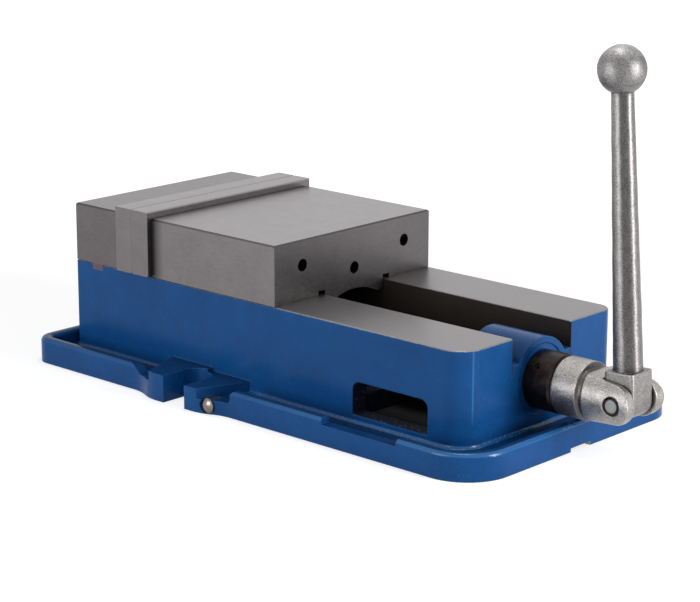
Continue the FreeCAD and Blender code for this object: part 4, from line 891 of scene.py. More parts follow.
class Section(Enum):
    """Outlines that a turned piece may have across its axis."""

    ROUND = auto()
    HEXAGON = auto()
    KNURLED = auto()

    def reach(self, angle: Array) -> Array:
        """Distance of the outline from the axis, as a share of its named radius.

        A round outline is 1 everywhere. A hexagon is 1 over the cosine of the angle from the middle of the
        nearest flat, whose radius is half its width. A knurl dips by a share of its depth, as a cosine.

        Args:
            angle: angles round the axis.

        Returns:
            The share at each angle.
        """
        if self is Section.HEXAGON:
            flat = math.radians(60.0)
            return 1.0 / np.cos(np.mod(angle, flat) - flat / 2)
        if self is Section.KNURLED:
            teeth, depth = 32, 0.05
            return 1.0 - depth * (0.5 - 0.5 * np.cos(angle * teeth))
        return np.ones_like(angle)


class Way(Enum):
    """Directions that an axis may have, each with the two directions across it."""

    FORWARD = ((1.0, 0.0, 0.0), (0.0, 1.0, 0.0), (0.0, 0.0, 1.0))
    BACKWARD = ((-1.0, 0.0, 0.0), (0.0, 1.0, 0.0), (0.0, 0.0, 1.0))
    ACROSS = ((0.0, 1.0, 0.0), (1.0, 0.0, 0.0), (0.0, 0.0, 1.0))
    UP = ((0.0, 0.0, 1.0), (1.0, 0.0, 0.0), (0.0, 1.0, 0.0))


@dataclass(frozen=True)
class Line:
    """The axis of a turned piece: where it starts, and its direction."""

    origin: Array
    way: Way

    def place(self, along: Array, radius: Array, angle: Array) -> Array:
        """Point = origin + along x direction + radius x (cosine x first + sine x second).

        Args:
            along: distances along the axis.
            radius: distances from it.
            angle: angles round it, from the first direction across it to the second.

        Returns:
            The points, with the coordinate last.
        """
        ahead, first, second = np.array(self.way.value)
        along, radius, angle = np.broadcast_arrays(along, radius, angle)
        out = (radius * np.cos(angle))[..., None] * first + (radius * np.sin(angle))[..., None] * second
        return self.origin + along[..., None] * ahead + out


@dataclass(frozen=True)
class Ring:
    """One outline of a turned piece: its place along the axis, its radius and its section."""

    along: float
    radius: float
    section: Section = Section.ROUND


@dataclass(frozen=True)
class Thread:
    """A screw thread. Its profile gives, for shares of one lead, how far it is up from root to crest."""

    start: float
    end: float
    root: float
    crest: float
    lead: float
    profile: Pairs
    left_hand: bool = False
    run_out: float = 0.8

    def grid(self, line: Line, columns: int) -> Array:
        """The thread's surface, on a grid that is sheared so that its rows follow the helix.

        Row i and angle a lie at (turn + share of row i) x lead plus or minus lead x a / full turn. The
        radius is root + height of row i x (crest - root), less near both ends, where the thread runs out.

        Args:
            line: the axis.
            columns: points round the axis.

        Returns:
            Points by row, column and coordinate.
        """
        shares, heights = np.array(self.profile).T
        turns = np.arange(-1, math.ceil((self.end - self.start) / self.lead) + 2)
        places = self.start + (turns[:, None] + shares[None, :]).ravel() * self.lead
        heights = np.tile(heights, len(turns))
        angle = np.linspace(0.0, FULL_TURN, columns, endpoint=False)
        hand = -1.0 if self.left_hand else 1.0
        along = places[:, None] + hand * self.lead * angle[None, :] / FULL_TURN
        along = np.clip(along, self.start, self.end)
        room = np.minimum(along - self.start, self.end - along)
        fade = np.clip(room / (self.run_out * self.lead), 0.0, 1.0)
        radius = self.root + heights[:, None] * fade * (self.crest - self.root)
        return line.place(along, radius, angle[None, :])

    @property
    def shift(self) -> int:
        """Rows by which the seam's far side is ahead."""
        return -len(self.profile) if self.left_hand else len(self.profile)


TRAPEZOID = ((0.0, 0.9), (0.03, 1.0), (0.336, 1.0), (0.366, 0.9), (0.49, 0.06), (0.52, 0.0), (0.846, 0.0),
             (0.876, 0.06))
VEE = ((0.0, 1.0), (0.125, 1.0), (0.4375, 0.0), (0.6875, 0.0))


class Shell:
    """Collects grids of points, in millimetres, and makes them one closed mesh."""

    def __init__(self) -> None:
        """Starts empty."""
        self.points: list[Array] = []
        self.faces: list[Array] = []
        self.count = 0

    def add_tube(self, grid: Array, shift: int = 0) -> None:
        """Adds a grid whose last column joins the first, that many rows on.

        Args:
            grid: points by row, column and coordinate.
            shift: rows by which the first column is ahead of the last one at the seam.
        """
        rows, columns = grid.shape[:2]
        row, column = np.arange(rows - 1)[:, None], np.arange(columns)[None, :]
        right = (column + 1) % columns
        far = row + np.where(column + 1 == columns, shift, 0)
        keep = (far >= 0) & (far + 1 < rows)
        row = np.broadcast_to(row, far.shape)
        corners = (row * columns + column, far * columns + right, (far + 1) * columns + right,
                   (row + 1) * columns + column)
        self.points.append(grid.reshape(-1, 3))
        self.faces.append(np.stack(corners, axis=-1)[keep] + self.count)
        self.count += rows * columns

    def finish(self, name: str, crease: float = 32.0) -> Piece:
        """Merges the seams, turns the faces outwards and makes the object.

        Args:
            name: the piece's name.
            crease: angle in degrees past which an edge stays sharp.

        Returns:
            The object, at the origin.
        """
        mesh = bpy.data.meshes.new(name)
        mesh.from_pydata(np.concatenate(self.points) * MM, [], np.concatenate(self.faces).tolist())
        close_up(mesh, crease)
        return place_object(name, mesh)


def close_up(mesh: Mesh, crease: float) -> None:
    """Merges doubled points, recalculates the normals outwards and sets smooth and sharp edges.

    Args:
        mesh: the mesh to clean.
        crease: angle in degrees past which an edge stays sharp.
    """
    work = bmesh.new()
    work.from_mesh(mesh)
    bmesh.ops.remove_doubles(work, verts=work.verts, dist=0.003 * MM)
    bmesh.ops.recalc_face_normals(work, faces=work.faces)
    work.to_mesh(mesh)
    work.free()
    smooth(mesh)
    mesh.set_sharp_from_angle(angle=math.radians(crease))


def smooth(mesh: Mesh) -> None:
    """Shades every face smooth."""
    mesh.polygons.foreach_set("use_smooth", np.ones(len(mesh.polygons), bool))


def place_object(name: str, mesh: Mesh) -> Piece:
    """Puts a mesh into the scene.

    Args:
        name: the object's name.
        mesh: its mesh.

    Returns:
        The object, at the origin.
    """
    piece = bpy.data.objects.new(name, mesh)
    bpy.context.scene.collection.objects.link(piece)
    return piece


def bake_modifiers(piece: Piece) -> None:
    """Replaces the piece's mesh by the one that its modifiers make, and takes them off.

    Args:
        piece: the piece to bake.
    """
    whole = bpy.context.evaluated_depsgraph_get()
    mesh = bpy.data.meshes.new_from_object(piece.evaluated_get(whole))
    piece.modifiers.clear()
    piece.data = mesh
    mesh.name = piece.name


def lumps(points: Array, size: float, seed: int) -> Array:
    """Smooth random unevenness from 0 to 1: the mean of sine waves in seeded directions.

    Each wave is the sine of 2 pi x (point . direction) / length + phase, with lengths near the size.

    Args:
        points: points in millimetres, with the coordinate last.
        size: about how wide a lump is.
        seed: seed of the directions, lengths and phases.

    Returns:
        The unevenness at each point.
    """
    draw = np.random.default_rng(seed)
    waves, shortest, longest, gain = 14, 1.2, 3.2, 1.6
    ways = draw.normal(size=(waves, 3))
    ways /= np.linalg.norm(ways, axis=1, keepdims=True)
    lengths = size * draw.uniform(shortest, longest, waves)
    phases = draw.uniform(0.0, FULL_TURN, waves)
    swings = np.sin(FULL_TURN * (points @ ways.T) / lengths + phases)
    return np.clip(0.5 + swings.mean(axis=-1) * gain, 0.0, 1.0)


def unevenness(points: Array, layers: Layers) -> Array:
    """The sum of layers of lumps, each given by its height, its size and its seed."""
    return sum(height * lumps(points, size, seed) for height, size, seed in layers)


def squared(angle: Array, power: float | Array) -> tuple[Array, Array]:
    """Cosine and sine of the angle, each with its size to the power, which squares a round outline."""
    cosine, sine = np.cos(angle), np.sin(angle)
    return np.sign(cosine) * np.abs(cosine) ** power, np.sign(sine) * np.abs(sine) ** power


@dataclass(frozen=True)
class Turning:
    """A piece turned on a lathe: rings up to its thread, the thread, and rings after it."""

    line: Line
    before: tuple[Ring, ...]
    thread: Thread | None = None
    after: tuple[Ring, ...] = ()
    columns: int = 72

    def _rings(self, rings: Sequence[Ring]) -> Array:
        """A grid with one row for each ring: its radius times its section's reach at each angle.

        Args:
            rings: the outlines, in order along the axis.

        Returns:
            Points by row, column and coordinate.
        """
        angle = np.linspace(0.0, FULL_TURN, self.columns, endpoint=False)
        along = np.array([ring.along for ring in rings])[:, None]
        radius = np.stack([ring.radius * ring.section.reach(angle) for ring in rings])
        return self.line.place(along, radius, angle[None, :])

    def add_to(self, shell: Shell) -> None:
        """Adds the piece's surface to a shell.

        Args:
            shell: the shell to add to.
        """
        shell.add_tube(self._rings(self.before))
        if self.thread:
            shell.add_tube(self.thread.grid(self.line, self.columns), self.thread.shift)
            shell.add_tube(self._rings(self.after))


@dataclass(frozen=True)
class CapScrew:
    """A socket head screw: knurled head, hexagon socket and threaded shank. Its seat is at 0 on its line."""

    head_radius: float
    head_height: float
    shank_radius: float
    length: float
    key: float
    pitch: float
    thread_length: float
    columns: int = 128
    socket_share = 0.42
    root_share = 0.61
    tip_share = 0.7

    def turning(self, line: Line) -> Turning:
        """The screw's outline along its line, from the socket's floor over the head to the tip.

        Args:
            line: the axis, from the seat towards the tip.

        Returns:
            The turned piece.
        """
        top, head, shank = -self.head_height, self.head_radius, self.shank_radius
        key, floor = self.key / 2, -self.head_height * self.socket_share
        root = shank - self.root_share * self.pitch
        start, end = self.length - self.thread_length, self.length - self.pitch * self.tip_share
        before = (
            Ring(floor + key * 0.25, 0.0), Ring(floor, key * 0.8),
            Ring(floor, key, Section.HEXAGON), Ring(top + 0.5, key, Section.HEXAGON),
            Ring(top, key * 1.2), Ring(top, head - 1.2), Ring(top + 0.35, head - 0.5),
            Ring(top + 1.0, head - 0.1), Ring(top + 1.5, head), Ring(top + 2.0, head, Section.KNURLED),
            Ring(-1.6, head, Section.KNURLED), Ring(-1.1, head), Ring(-0.3, head), Ring(0.0, head - 0.3),
            Ring(0.0, shank + 0.35), Ring(0.35, shank), Ring(start - 0.4, shank), Ring(start, root),
        )
        after = (Ring(end, root), Ring(self.length, root - 0.5), Ring(self.length, 0.0))
        thread = Thread(start, end, root, shank, self.pitch, VEE)
        return Turning(line, before, thread, after, self.columns)


PLATE_SCREW = CapScrew(head_radius=8.0, head_height=9.6, shank_radius=4.2, length=24.0, key=8.0, pitch=1.25,
                       thread_length=16.0)
JAW_BOLT = CapScrew(head_radius=9.0, head_height=12.0, shank_radius=5.05, length=52.5, key=10.0, pitch=1.5,
                    thread_length=30.0)


@dataclass
class SubAssembly(ABC):
    """A group of pieces that belong together on the bench."""

    effects: Effects

    @abstractmethod
    def make(self) -> list[Piece]:
        """Makes and dresses the group's pieces.

        Returns:
            Every piece of the group.
        """

    def keep(self, finish: Finish, *names: str) -> list[Piece]:
        """Keeps nodes of the frame as they are and gives them a finish.

        Args:
            finish: the finish.
            names: the nodes' names.

        Returns:
            The nodes' objects.
        """
        nodes = [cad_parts[name] for name in names]
        finish.dress(self.effects, *nodes)
        return nodes

    @staticmethod
    def seat(piece: Piece, body: str, slot: str, *stands_for: str) -> Piece:
        """Lets a new piece ride on its body in place of the nodes that it stands for.

        Args:
            piece: the new piece.
            body: the body that carries it.
            slot: not used.
            stands_for: the nodes that it stands for.

        Returns:
            The piece.
        """
        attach(piece, body)
        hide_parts(*stands_for)
        return piece

    def screw_pair(self, name: str, node: str, body: str, screw: CapScrew, way: Way) -> Piece:
        """Two socket head screws, side by side across the vise, where a node's box ends behind their heads.

        Args:
            name: the new piece's name.
            node: the node that it stands for.
            body: the body that carries it.
            screw: the kind of screw.
            way: the direction from head to tip.

        Returns:
            Both screws as one piece.
        """
        box, shell, ahead = span(node), Shell(), np.array(way.value[0])
        behind = np.where(ahead < 0.0, box.high, box.low)
        seat = np.where(ahead == 0.0, box.middle, behind + ahead * screw.head_height)
        for side in (box.low[1] + screw.head_radius, box.high[1] - screw.head_radius):
            screw.turning(Line(np.array([seat[0], side, seat[2]]), way)).add_to(shell)
        pair = self.seat(shell.finish(name), body, "black_oxide", node)
        BLACK_OXIDE.dress(self.effects, pair)
        return pair


@dataclass
class BedCasting(SubAssembly):
    """The cast bed with its plug."""

    rail_thickness: float = 22.5
    rail_gap: float = 59.0

    def make(self) -> list[Piece]:
        """The casting keeps its shape; its zones are found from the rails' height.

        Returns:
            The casting and the plug.
        """
        top, half = span("fixed_jaw").low[2], self.rail_gap / 2
        casting = CastingFinish(rail_top=top, rail_under=top - self.rail_thickness, slot_half=half)
        return self.keep(casting, "body") + self.keep(PLUG_STEEL, "index_plug")


@dataclass
class FixedJaw(SubAssembly):
    """The fixed jaw, its key, its plate and the screws of both."""

    plate_screw: CapScrew = PLATE_SCREW
    bolt: CapScrew = JAW_BOLT

    def make(self) -> list[Piece]:
        """Ground blocks as they are, two screws in the plate, and two bolts from under the deck.

        Returns:
            Every piece of the group.
        """
        pieces = self.keep(FIXED_JAW_STEEL, "fixed_jaw")
        pieces += self.keep(KEY_STEEL, "fixed_jaw_key")
        pieces += self.keep(PLATE_STEEL, "fixed_jaw_plate")
        return pieces + [
            self.screw_pair("fixed_plate_cap_screws", "fixed_plate_screws", "bed", self.plate_screw,
                            Way.BACKWARD),
            self.screw_pair("jaw_cap_bolts", "fixed_jaw_bolts", "bed", self.bolt, Way.UP),
        ]


@dataclass
class MovableJaw(SubAssembly):
    """The movable jaw, its plate, that plate's screws and the lock's set screw."""

    plate_screw: CapScrew = PLATE_SCREW

    def make(self) -> list[Piece]:
        """Ground blocks as they are, with modelled screws in the plate.

        Returns:
            Every piece of the group.
        """
        pieces = self.keep(JAW_STEEL, "movable_jaw")
        pieces += self.keep(PLATE_STEEL, "movable_jaw_plate")
        pieces += self.keep(BLACK_OXIDE, "jaw_set_screw")
        return pieces + [self.screw_pair("movable_plate_cap_screws", "movable_plate_screws", "jaw",
                                         self.plate_screw, Way.FORWARD)]


@dataclass
class AngleLock(SubAssembly):
    """The nut and the half ball through which it pulls the jaw down."""

    def make(self) -> list[Piece]:
        """Both keep the frame's shape."""
        return self.keep(NUT_IRON, "nut") + self.keep(BEARING_STEEL, "half_ball")


@dataclass
class LeadScrew(SubAssembly):
    """The lead screw with its left-hand thread, its thrust bearing and its collar."""

    crest: float = 15.0
    root: float = 12.6
    lead: float = 5.0
    tip_bevel: float = 1.4
    relief: float = 2.0
    shoulder: float = 20.0
    shoulder_length: float = 8.0
    journal: float = 14.0
    hexagon: float = 22.0
    hexagon_length: float = 28.0
    axis_height: float = 39.0

    def make(self) -> list[Piece]:
        """The screw is modelled; the bearing and the collar keep the frame's shape.

        Returns:
            Every piece of the group.
        """
        screw = self._screw()
        SCREW_STEEL.dress(self.effects, screw)
        bearing = ("rear_thrust_race", "front_thrust_race", "thrust_needles", "thrust_cage")
        collar = ("screw_collar", "collar_set_screw")
        return [screw, *self.keep(BEARING_STEEL, *bearing), *self.keep(BLACK_OXIDE, *collar)]

    def _screw(self) -> Piece:
        """Tip, thread, thrust shoulder, journal and hexagon, all on one axis.

        Returns:
            The screw.
        """
        box = span("screw")
        rear, front = box.low[0], box.high[0]
        seat = span("rear_thrust_race").low[0]
        back = seat - self.shoulder_length
        nose = front - self.hexagon_length
        root, shoulder, journal, half = self.root, self.shoulder, self.journal, self.hexagon / 2
        start, end = rear + self.tip_bevel, back - self.relief
        before = (Ring(rear + 2.4, 0.0), Ring(rear + 1.6, 1.6), Ring(rear, 3.2), Ring(rear, root - 1.5),
                  Ring(start, root))
        after = (
            Ring(end, root), Ring(back - 0.6, root), Ring(back, root + 0.6), Ring(back, shoulder - 0.8),
            Ring(back + 0.8, shoulder), Ring(seat - 0.5, shoulder), Ring(seat, shoulder - 0.5),
            Ring(seat, journal), Ring(nose - 0.6, journal), Ring(nose, journal - 0.6),
            Ring(nose, half * 1.05), Ring(nose, half, Section.HEXAGON),
            Ring(front - 1.2, half, Section.HEXAGON), Ring(front, half * 0.96), Ring(front, 3.0),
            Ring(front - 1.5, 1.5), Ring(front - 2.2, 0.0),
        )
        thread = Thread(start, end, root, self.crest, self.lead, TRAPEZOID, left_hand=True)
        shell, line = Shell(), Line(np.array([0.0, 0.0, self.axis_height]), Way.FORWARD)
        Turning(line, before, thread, after).add_to(shell)
        return self.seat(shell.finish("lead_screw"), "screw", "screw_steel", "screw")


@dataclass
class Handle(SubAssembly):
    """The folding handle: clevis, pin, its retaining rings and the forged lever."""

    lean: float = 3.86
    block_half: float = 10.75
    block_top: float = 19.0
    block_power: float = 14.0
    block_bevel: Pairs = ((1.0, 0.0), (0.45, 0.08), (0.12, 0.3), (0.0, 0.62))
    flare: float = 10.1
    flare_height: float = 2.0
    rod_foot: float = 9.3
    rod_tip: float = 7.05
    rod_fillet: float = 1.1
    rod_gap: float = 1.5
    rod_collar: Pairs = ((0.7, 0.1), (1.2, 0.45))
    ball: float = 15.08
    ball_place: float = 200.8
    ball_start: float = 0.84
    eye: float = 4.8
    ring_wire: float = 1.4
    ring_depth: float = 1.2
    ring_gap: float = 38.0
    ring_turn: float = 118.0
    ring_power: float = 0.45
    ring_play: float = 0.05
    neck_profile: Pairs = ((256.6, 18.8), (257.8, 17.3), (260.7, 17.3), (261.6, 19.6), (266.0, 19.6))
    neck_share: float = 0.8
    ear_taper: float = 5.0
    forging: Layers = ((0.022, 9.0, 4), (0.006, 2.4, 5))
    casting: Layers = ((0.10, 5.0, 8), (0.05, 1.6, 9))
    voxel: float = 0.42
    relaxing: int = 3
    crease: float = 30.0
    columns: int = 96
    bar_columns: int = 64

    def make(self) -> list[Piece]:
        """The pin keeps the frame's shape; the rest is modelled.

        Returns:
            Every piece of the group.
        """
        lever, clevis, rings = self._lever(), self._clevis(), self._rings()
        self._dress_lever(lever)
        CLEVIS_STEEL.dress(self.effects, clevis)
        BLACK_OXIDE.dress(self.effects, rings)
        return [lever, clevis, rings] + self.keep(PIN_STEEL, "handle_pin")

    @property
    def _up(self) -> Array:
        """The lever's own axis, from its pin to its ball."""
        lean = math.radians(self.lean)
        return np.array([-math.sin(lean), 0.0, math.cos(lean)])

    def _stations(self) -> Array:
        """Rows of the lever along its own axis: place, half width, half depth and power of the outline.

        The foot is a half circle about the pin, the block a square with rounded corners, the rod a cone
        with a flared foot, and the ball a circle's arc up to its pole.

        Returns:
            One row for each outline.
        """
        half, top, tip, square = self.block_half, self.block_top, self.rod_tip, self.block_power
        turn = np.linspace(0.0, math.pi / 2, 16)
        drop, inset = np.array(self.block_bevel).T
        bend = np.linspace(0.0, math.pi / 2, 6)[:-1]
        flare = self.flare - (self.flare - self.rod_foot) * np.sin(bend)
        start = top + self.flare_height
        end = self.ball_place - math.sqrt(self.ball**2 - (tip + self.rod_fillet) ** 2) - self.rod_gap
        share = np.linspace(0.0, 1.0, 70)
        rod = self.rod_foot + share * (tip - self.rod_foot)
        arc = np.linspace(math.asin((tip + self.rod_fillet) / self.ball), math.pi, 40)
        ball = self.ball * np.sin(arc)
        ahead, wider = np.array(self.rod_collar).T
        parts = (
            (-half * np.cos(turn), half * np.sin(turn), half, square),
            (top - drop, half - inset, half - inset, square),
            (top + self.flare_height * (1 - np.cos(bend)), flare, flare, ROUND_POWER),
            (start + share * (end - start), rod, rod, ROUND_POWER),
            (end + ahead, tip + wider, tip + wider, ROUND_POWER),
            (self.ball_place - self.ball * np.cos(arc), ball, ball, ROUND_POWER),
        )
        return np.vstack([np.stack(np.broadcast_arrays(*part), axis=-1) for part in parts])

    def _lever(self) -> Piece:
        """Outlines carried along the leaning axis: half width x |cosine| ** (2 / power), and so with sine.

        Returns:
            The lever, with its eye cut through.
        """
        place, wide, deep, power = self._stations().T[:, :, None]
        angle = np.linspace(0.0, FULL_TURN, self.columns, endpoint=False)[None, :]
        cosine, sine = squared(angle, 2 / power)
        local = np.stack(np.broadcast_arrays(wide * cosine, deep * sine, place), axis=-1)
        shrink = 1.0 - unevenness(local, self.forging)
        local = local * np.stack([shrink, shrink, np.ones_like(shrink)], axis=-1)
        pivot, up = span("handle_pin").middle, self._up
        out, side = np.array([up[2], 0.0, -up[0]]), np.array([0.0, 1.0, 0.0])
        shell = Shell()
        shell.add_tube(pivot + local[..., 2:] * up + local[..., :1] * out + local[..., 1:2] * side)
        lever = shell.finish("forged_lever")
        self._cut_eye(lever, pivot)
        return self.seat(lever, "lever", "cast_steel", "handle_lever")

    def _dress_lever(self, lever: Piece) -> None:
        """Gives the block, the rod and the ball a finish each, by how high a face lies on the lever's axis.

        Args:
            lever: the piece to dress.
        """
        for finish in (BLOCK_STEEL, ROD_STEEL, BALL_STEEL):
            lever.data.materials.append(finish.material(self.effects))
        faces = lever.data.polygons
        centres = np.empty(len(faces) * 3, np.float32)
        faces.foreach_get("center", centres)
        above = (centres.reshape(-1, 3) / MM - span("handle_pin").middle) @ self._up
        part = np.searchsorted([self.block_top + 0.05, self.ball_place - self.ball * self.ball_start], above)
        faces.foreach_set("material_index", part.astype(np.int32))

    def _cut_eye(self, lever: Piece, pivot: Array) -> None:
        """Cuts the pin's hole through the block with a round bar.

        Args:
            lever: the piece to cut.
            pivot: the hole's middle.
        """
        bar, reach = Shell(), self.block_half * 1.5
        rings = (Ring(-reach, 0.0), Ring(-reach, self.eye), Ring(reach, self.eye), Ring(reach, 0.0))
        Turning(Line(pivot, Way.ACROSS), rings, columns=self.bar_columns).add_to(bar)
        cutter = bar.finish("eye_bar")
        cut = lever.modifiers.new("eye", "BOOLEAN")
        cut.operation = "DIFFERENCE"
        cut.solver = "EXACT"
        cut.object = cutter
        bake_modifiers(lever)
        bpy.data.objects.remove(cutter, do_unlink=True)
        close_up(lever.data, self.crease)

    def _clevis(self) -> Piece:
        """The clevis as cast: the frame's shape with its corners softened and its skin slightly uneven.

        Returns:
            The clevis.
        """
        mesh = bpy.data.meshes.new_from_object(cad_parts["handle_clevis"])
        mesh.name = "cast_clevis"
        mesh.materials.clear()
        close_up(mesh, self.crease)
        clevis = place_object("cast_clevis", mesh)
        self._remesh(clevis, 0)
        points, _ = self._vertices(clevis)
        self._move(clevis, self._plane_ears(points))
        self._remesh(clevis, self.relaxing)
        points, normals = self._vertices(clevis)
        self._move(clevis, points - normals * unevenness(points, self.casting)[:, None])
        smooth(clevis.data)
        return self.seat(clevis, "screw", "cast_steel", "handle_clevis")

    def _plane_ears(self, points: Array) -> Array:
        """Widens the neck between barrel and ears, and planes the ears' upper and lower edges.

        Along the neck, the outside's distance from the screw's axis follows the neck's profile. Ahead of the
        neck's rear end, no point is farther above or below the axis than
        ear radius / cosine(taper) + (pin - x) x tangent(taper), which touches the ears' round ends.

        Args:
            points: the clevis's points in millimetres.

        Returns:
            The moved points.
        """
        pin = span("handle_pin").middle
        radius = span("handle_clevis").high[0] - pin[0]
        places, radii = np.array(self.neck_profile).T
        along, across, above = points[:, 0], points[:, 1], points[:, 2] - pin[2]
        from_axis = np.hypot(across, above)
        neck = (along > places[0]) & (along < places[-1]) & (from_axis > radii[0] * self.neck_share)
        share = np.where(neck, np.interp(along, places, radii) / np.maximum(from_axis, 1.0), 1.0)
        slope = math.radians(self.ear_taper)
        limit = radius / math.cos(slope) + (pin[0] - along) * math.tan(slope)
        limit = np.where(along > places[1], limit, np.inf)
        return np.stack([along, across * share, pin[2] + np.clip(above * share, -limit, limit)], axis=1)

    def _remesh(self, piece: Piece, relaxing: int) -> None:
        """Makes the piece one even skin of small faces, and relaxes it.

        Args:
            piece: the piece to remesh.
            relaxing: how many times it is relaxed.
        """
        voxels = piece.modifiers.new("voxels", "REMESH")
        voxels.mode = "VOXEL"
        voxels.voxel_size = self.voxel * MM
        relax = piece.modifiers.new("relax", "SMOOTH")
        relax.factor = 0.5
        relax.iterations = relaxing
        bake_modifiers(piece)

    @staticmethod
    def _vertices(piece: Piece) -> list[Array]:
        """The piece's points in millimetres, and their normals.

        Args:
            piece: the piece to read.

        Returns:
            Both arrays.
        """
        both = [np.empty(len(piece.data.vertices) * 3, np.float32) for _ in range(2)]
        for name, array in zip(("co", "normal"), both):
            piece.data.vertices.foreach_get(name, array)
        return [both[0].reshape(-1, 3).astype(float) / MM, both[1].reshape(-1, 3)]

    @staticmethod
    def _move(piece: Piece, points: Array) -> None:
        """Puts the piece's points at new places, given in millimetres."""
        piece.data.vertices.foreach_set("co", (points * MM).astype(np.float32).ravel())
        piece.data.update()

    def _rings(self) -> Piece:
        """Two open rings: a rounded oblong section carried round the pin, with a gap between its ends.

        Returns:
            Both rings as one piece.
        """
        pin, box, shell = span("handle_pin"), span("pin_rings"), Shell()
        middle = (pin.high[0] - pin.low[0]) / 2 + self.ring_play + self.ring_wire / 2
        gap, rows = math.radians(self.ring_gap), 90
        turn = np.linspace(gap / 2, FULL_TURN - gap / 2, rows)[:, None] + math.radians(self.ring_turn)
        from_end = np.minimum(np.arange(rows), np.arange(rows)[::-1])
        swell = np.interp(from_end, (0, 1, 2), (0.0, 0.8, 1.0))[:, None]
        cosine, sine = squared(np.linspace(0.0, FULL_TURN, 16, endpoint=False), self.ring_power)
        reach = middle + swell * self.ring_wire / 2 * cosine
        deep = swell * self.ring_depth / 2 * sine
        for side in (-1.0, 1.0):
            x, z = pin.middle[0] + reach * np.cos(turn), pin.middle[2] + reach * np.sin(turn)
            y = side * (box.high[1] - self.ring_depth / 2 + deep)
            shell.add_tube(np.stack(np.broadcast_arrays(x, y, z), axis=-1))
        return self.seat(shell.finish("open_pin_rings"), "screw", "black_oxide", "pin_rings")


class Lamp(Enum):
    """The studio's soft lamps: place, width, height, colour and radiant power in watts."""

    RIGHT = ((1.18, 0.22, 0.34), 0.30, 0.64, (1.0, 0.99, 0.98), 10.7)
    LEFT = ((-0.12, -1.20, 0.31), 0.70, 0.58, (0.98, 0.99, 1.0), 6.5)
    ABOVE = ((0.10, 0.00, 1.45), 0.45, 0.45, (1.0, 1.0, 1.0), 4.2)


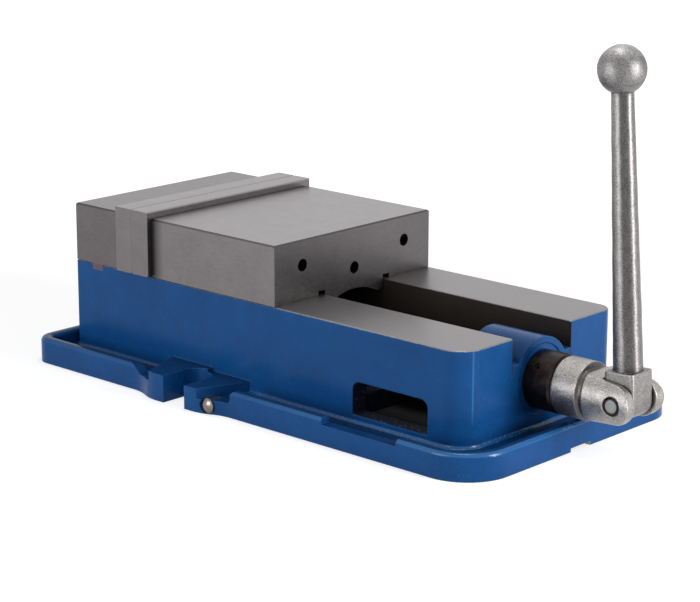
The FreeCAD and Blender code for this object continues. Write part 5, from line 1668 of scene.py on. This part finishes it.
@dataclass
class Studio:
    """Pale floor, white surroundings, soft lamps and the camera."""

    aim: Triple = (0.06, 0.0, 0.07)
    camera_place: Triple = (1.02605, -1.05883, 0.43817)
    camera_turn: Triple = (75.2442, -0.1921, 42.5983)
    focal: float = 113.78
    sensor: float = 36.0
    clip: tuple[float, float] = (0.05, 50.0)
    floor_half: float = 6.0
    floor_tone: float = 0.68
    floor_mottle: float = 0.985
    floor_painted_shade: float = 0.06
    near_lift: float = 0.58
    near_reach: float = 0.35
    far_reach: float = 1.0
    foot_inset: float = 0.02
    ambient: float = 0.32

    def make(self) -> None:
        """Sets up everything that isn't part of the vise."""
        bpy.context.scene.view_settings.view_transform = "Standard"
        self._camera()
        self._world()
        self._floor()
        for lamp in Lamp:
            self._lamp(lamp)

    def _camera(self) -> None:
        """A long lens from the front left, slightly above."""
        scene, data = bpy.context.scene, bpy.data.cameras.new("camera")
        data.lens = self.focal
        data.sensor_width = self.sensor
        data.clip_start, data.clip_end = self.clip
        camera = bpy.data.objects.new("camera", data)
        camera.location = self.camera_place
        camera.rotation_euler = [math.radians(angle) for angle in self.camera_turn]
        scene.collection.objects.link(camera)
        scene.camera = camera

    @staticmethod
    def _seen(tree: Tree) -> Value:
        """Finds the rays that show the background: from the camera, in gloss and through glass.

        Args:
            tree: the tree that the answer goes into.

        Returns:
            1 for such rays.
        """
        path = put(tree, "LightPath").outputs
        camera, *others = (Value(path[f"Is {kind} Ray"]) for kind in ("Camera", "Glossy", "Transmission"))
        return camera.most(*others)

    def _world(self) -> None:
        """White where it is seen, and a dimmer grey as the room's light."""
        world = bpy.data.worlds.new("white_room")
        tree = fresh_tree(world)
        strength = self._seen(tree).fade(self.ambient, 1.0)
        back = put(tree, "Background", {"Color": (1.0, 1.0, 1.0, 1.0), "Strength": strength}).outputs[0]
        put(tree, "OutputWorld", {"Surface": Value(back)})
        bpy.context.scene.world = world

    def _floor(self) -> None:
        """A pale floor that reads white where it is lit, keeps shadows and has painted shade inside the bed.
        """
        half = self.floor_half
        mesh = bpy.data.meshes.new("studio_floor")
        corners = [(-half, -half, 0.0), (half, -half, 0.0), (half, half, 0.0), (-half, half, 0.0)]
        mesh.from_pydata(corners, [], [(0, 1, 2, 3)])
        material = bpy.data.materials.new("pale_floor")
        tree = fresh_tree(material)
        point = Value(put(tree, "TexCoord").outputs["Object"])
        low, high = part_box("body")
        x, y, _ = point.parts()
        under = abs(y).below(high[1] - self.foot_inset)
        under = under * x.near((low[0] + high[0]) / 2, (high[0] - low[0]) / 2 - self.foot_inset)
        tone = point.noise(0.6, 3.0).ramp(0.3, 0.7, self.floor_tone * self.floor_mottle, self.floor_tone)
        # Painted shade on the floor under the bed, which also takes away its glow there
        tone = tone * under.fade(1.0, self.floor_painted_shade)
        lift = distance(x, y).ramp(self.near_reach, self.far_reach, self.near_lift, 1.0)
        matt = put(tree, "BsdfDiffuse", {"Color": tone.tint((1.0, 1.0, 1.0))}).outputs[0]
        glow = put(tree, "Emission", {"Strength": lift * self._seen(tree) * (1.0 - under)}).outputs[0]
        both = put(tree, "AddShader", {0: Value(matt), 1: Value(glow)}).outputs[0]
        put(tree, "OutputMaterial", {"Surface": Value(both)})
        mesh.materials.append(material)
        place_object("studio_floor", mesh)

    def _lamp(self, lamp: Lamp) -> None:
        """One rectangular soft lamp that faces the vise.

        Args:
            lamp: which lamp.
        """
        place, width, height, colour, power = lamp.value
        data = bpy.data.lights.new(lamp.name.lower(), "AREA")
        data.shape = "RECTANGLE"
        data.size, data.size_y = width, height
        data.color = colour
        data.energy = power
        holder = bpy.data.objects.new(lamp.name.lower(), data)
        holder.location = place
        away = np.array(place) - np.array(self.aim)
        tilt = math.acos(away[2] / float(np.linalg.norm(away)))
        holder.rotation_euler = (tilt, 0.0, math.atan2(away[1], away[0]) + math.pi / 2)
        bpy.context.scene.collection.objects.link(holder)


def clear_startup() -> None:
    """Removes the objects of Blender's own startup scene."""
    for name in STARTUP_OBJECTS:
        found = bpy.data.objects.get(name)
        if found:
            bpy.data.objects.remove(found, do_unlink=True)


def main() -> None:
    """Builds the studio and every sub-assembly."""
    logging.basicConfig(level=logging.INFO, format="%(name)s: %(message)s")
    clear_startup()
    Studio().make()
    effects = Effects()
    for group in (BedCasting, FixedJaw, MovableJaw, AngleLock, LeadScrew, Handle):
        for piece in group(effects).make():
            log.info("%s: %s, %d faces", group.__name__, piece.name, len(piece.data.polygons))


if __name__ == "__main__":
    main()
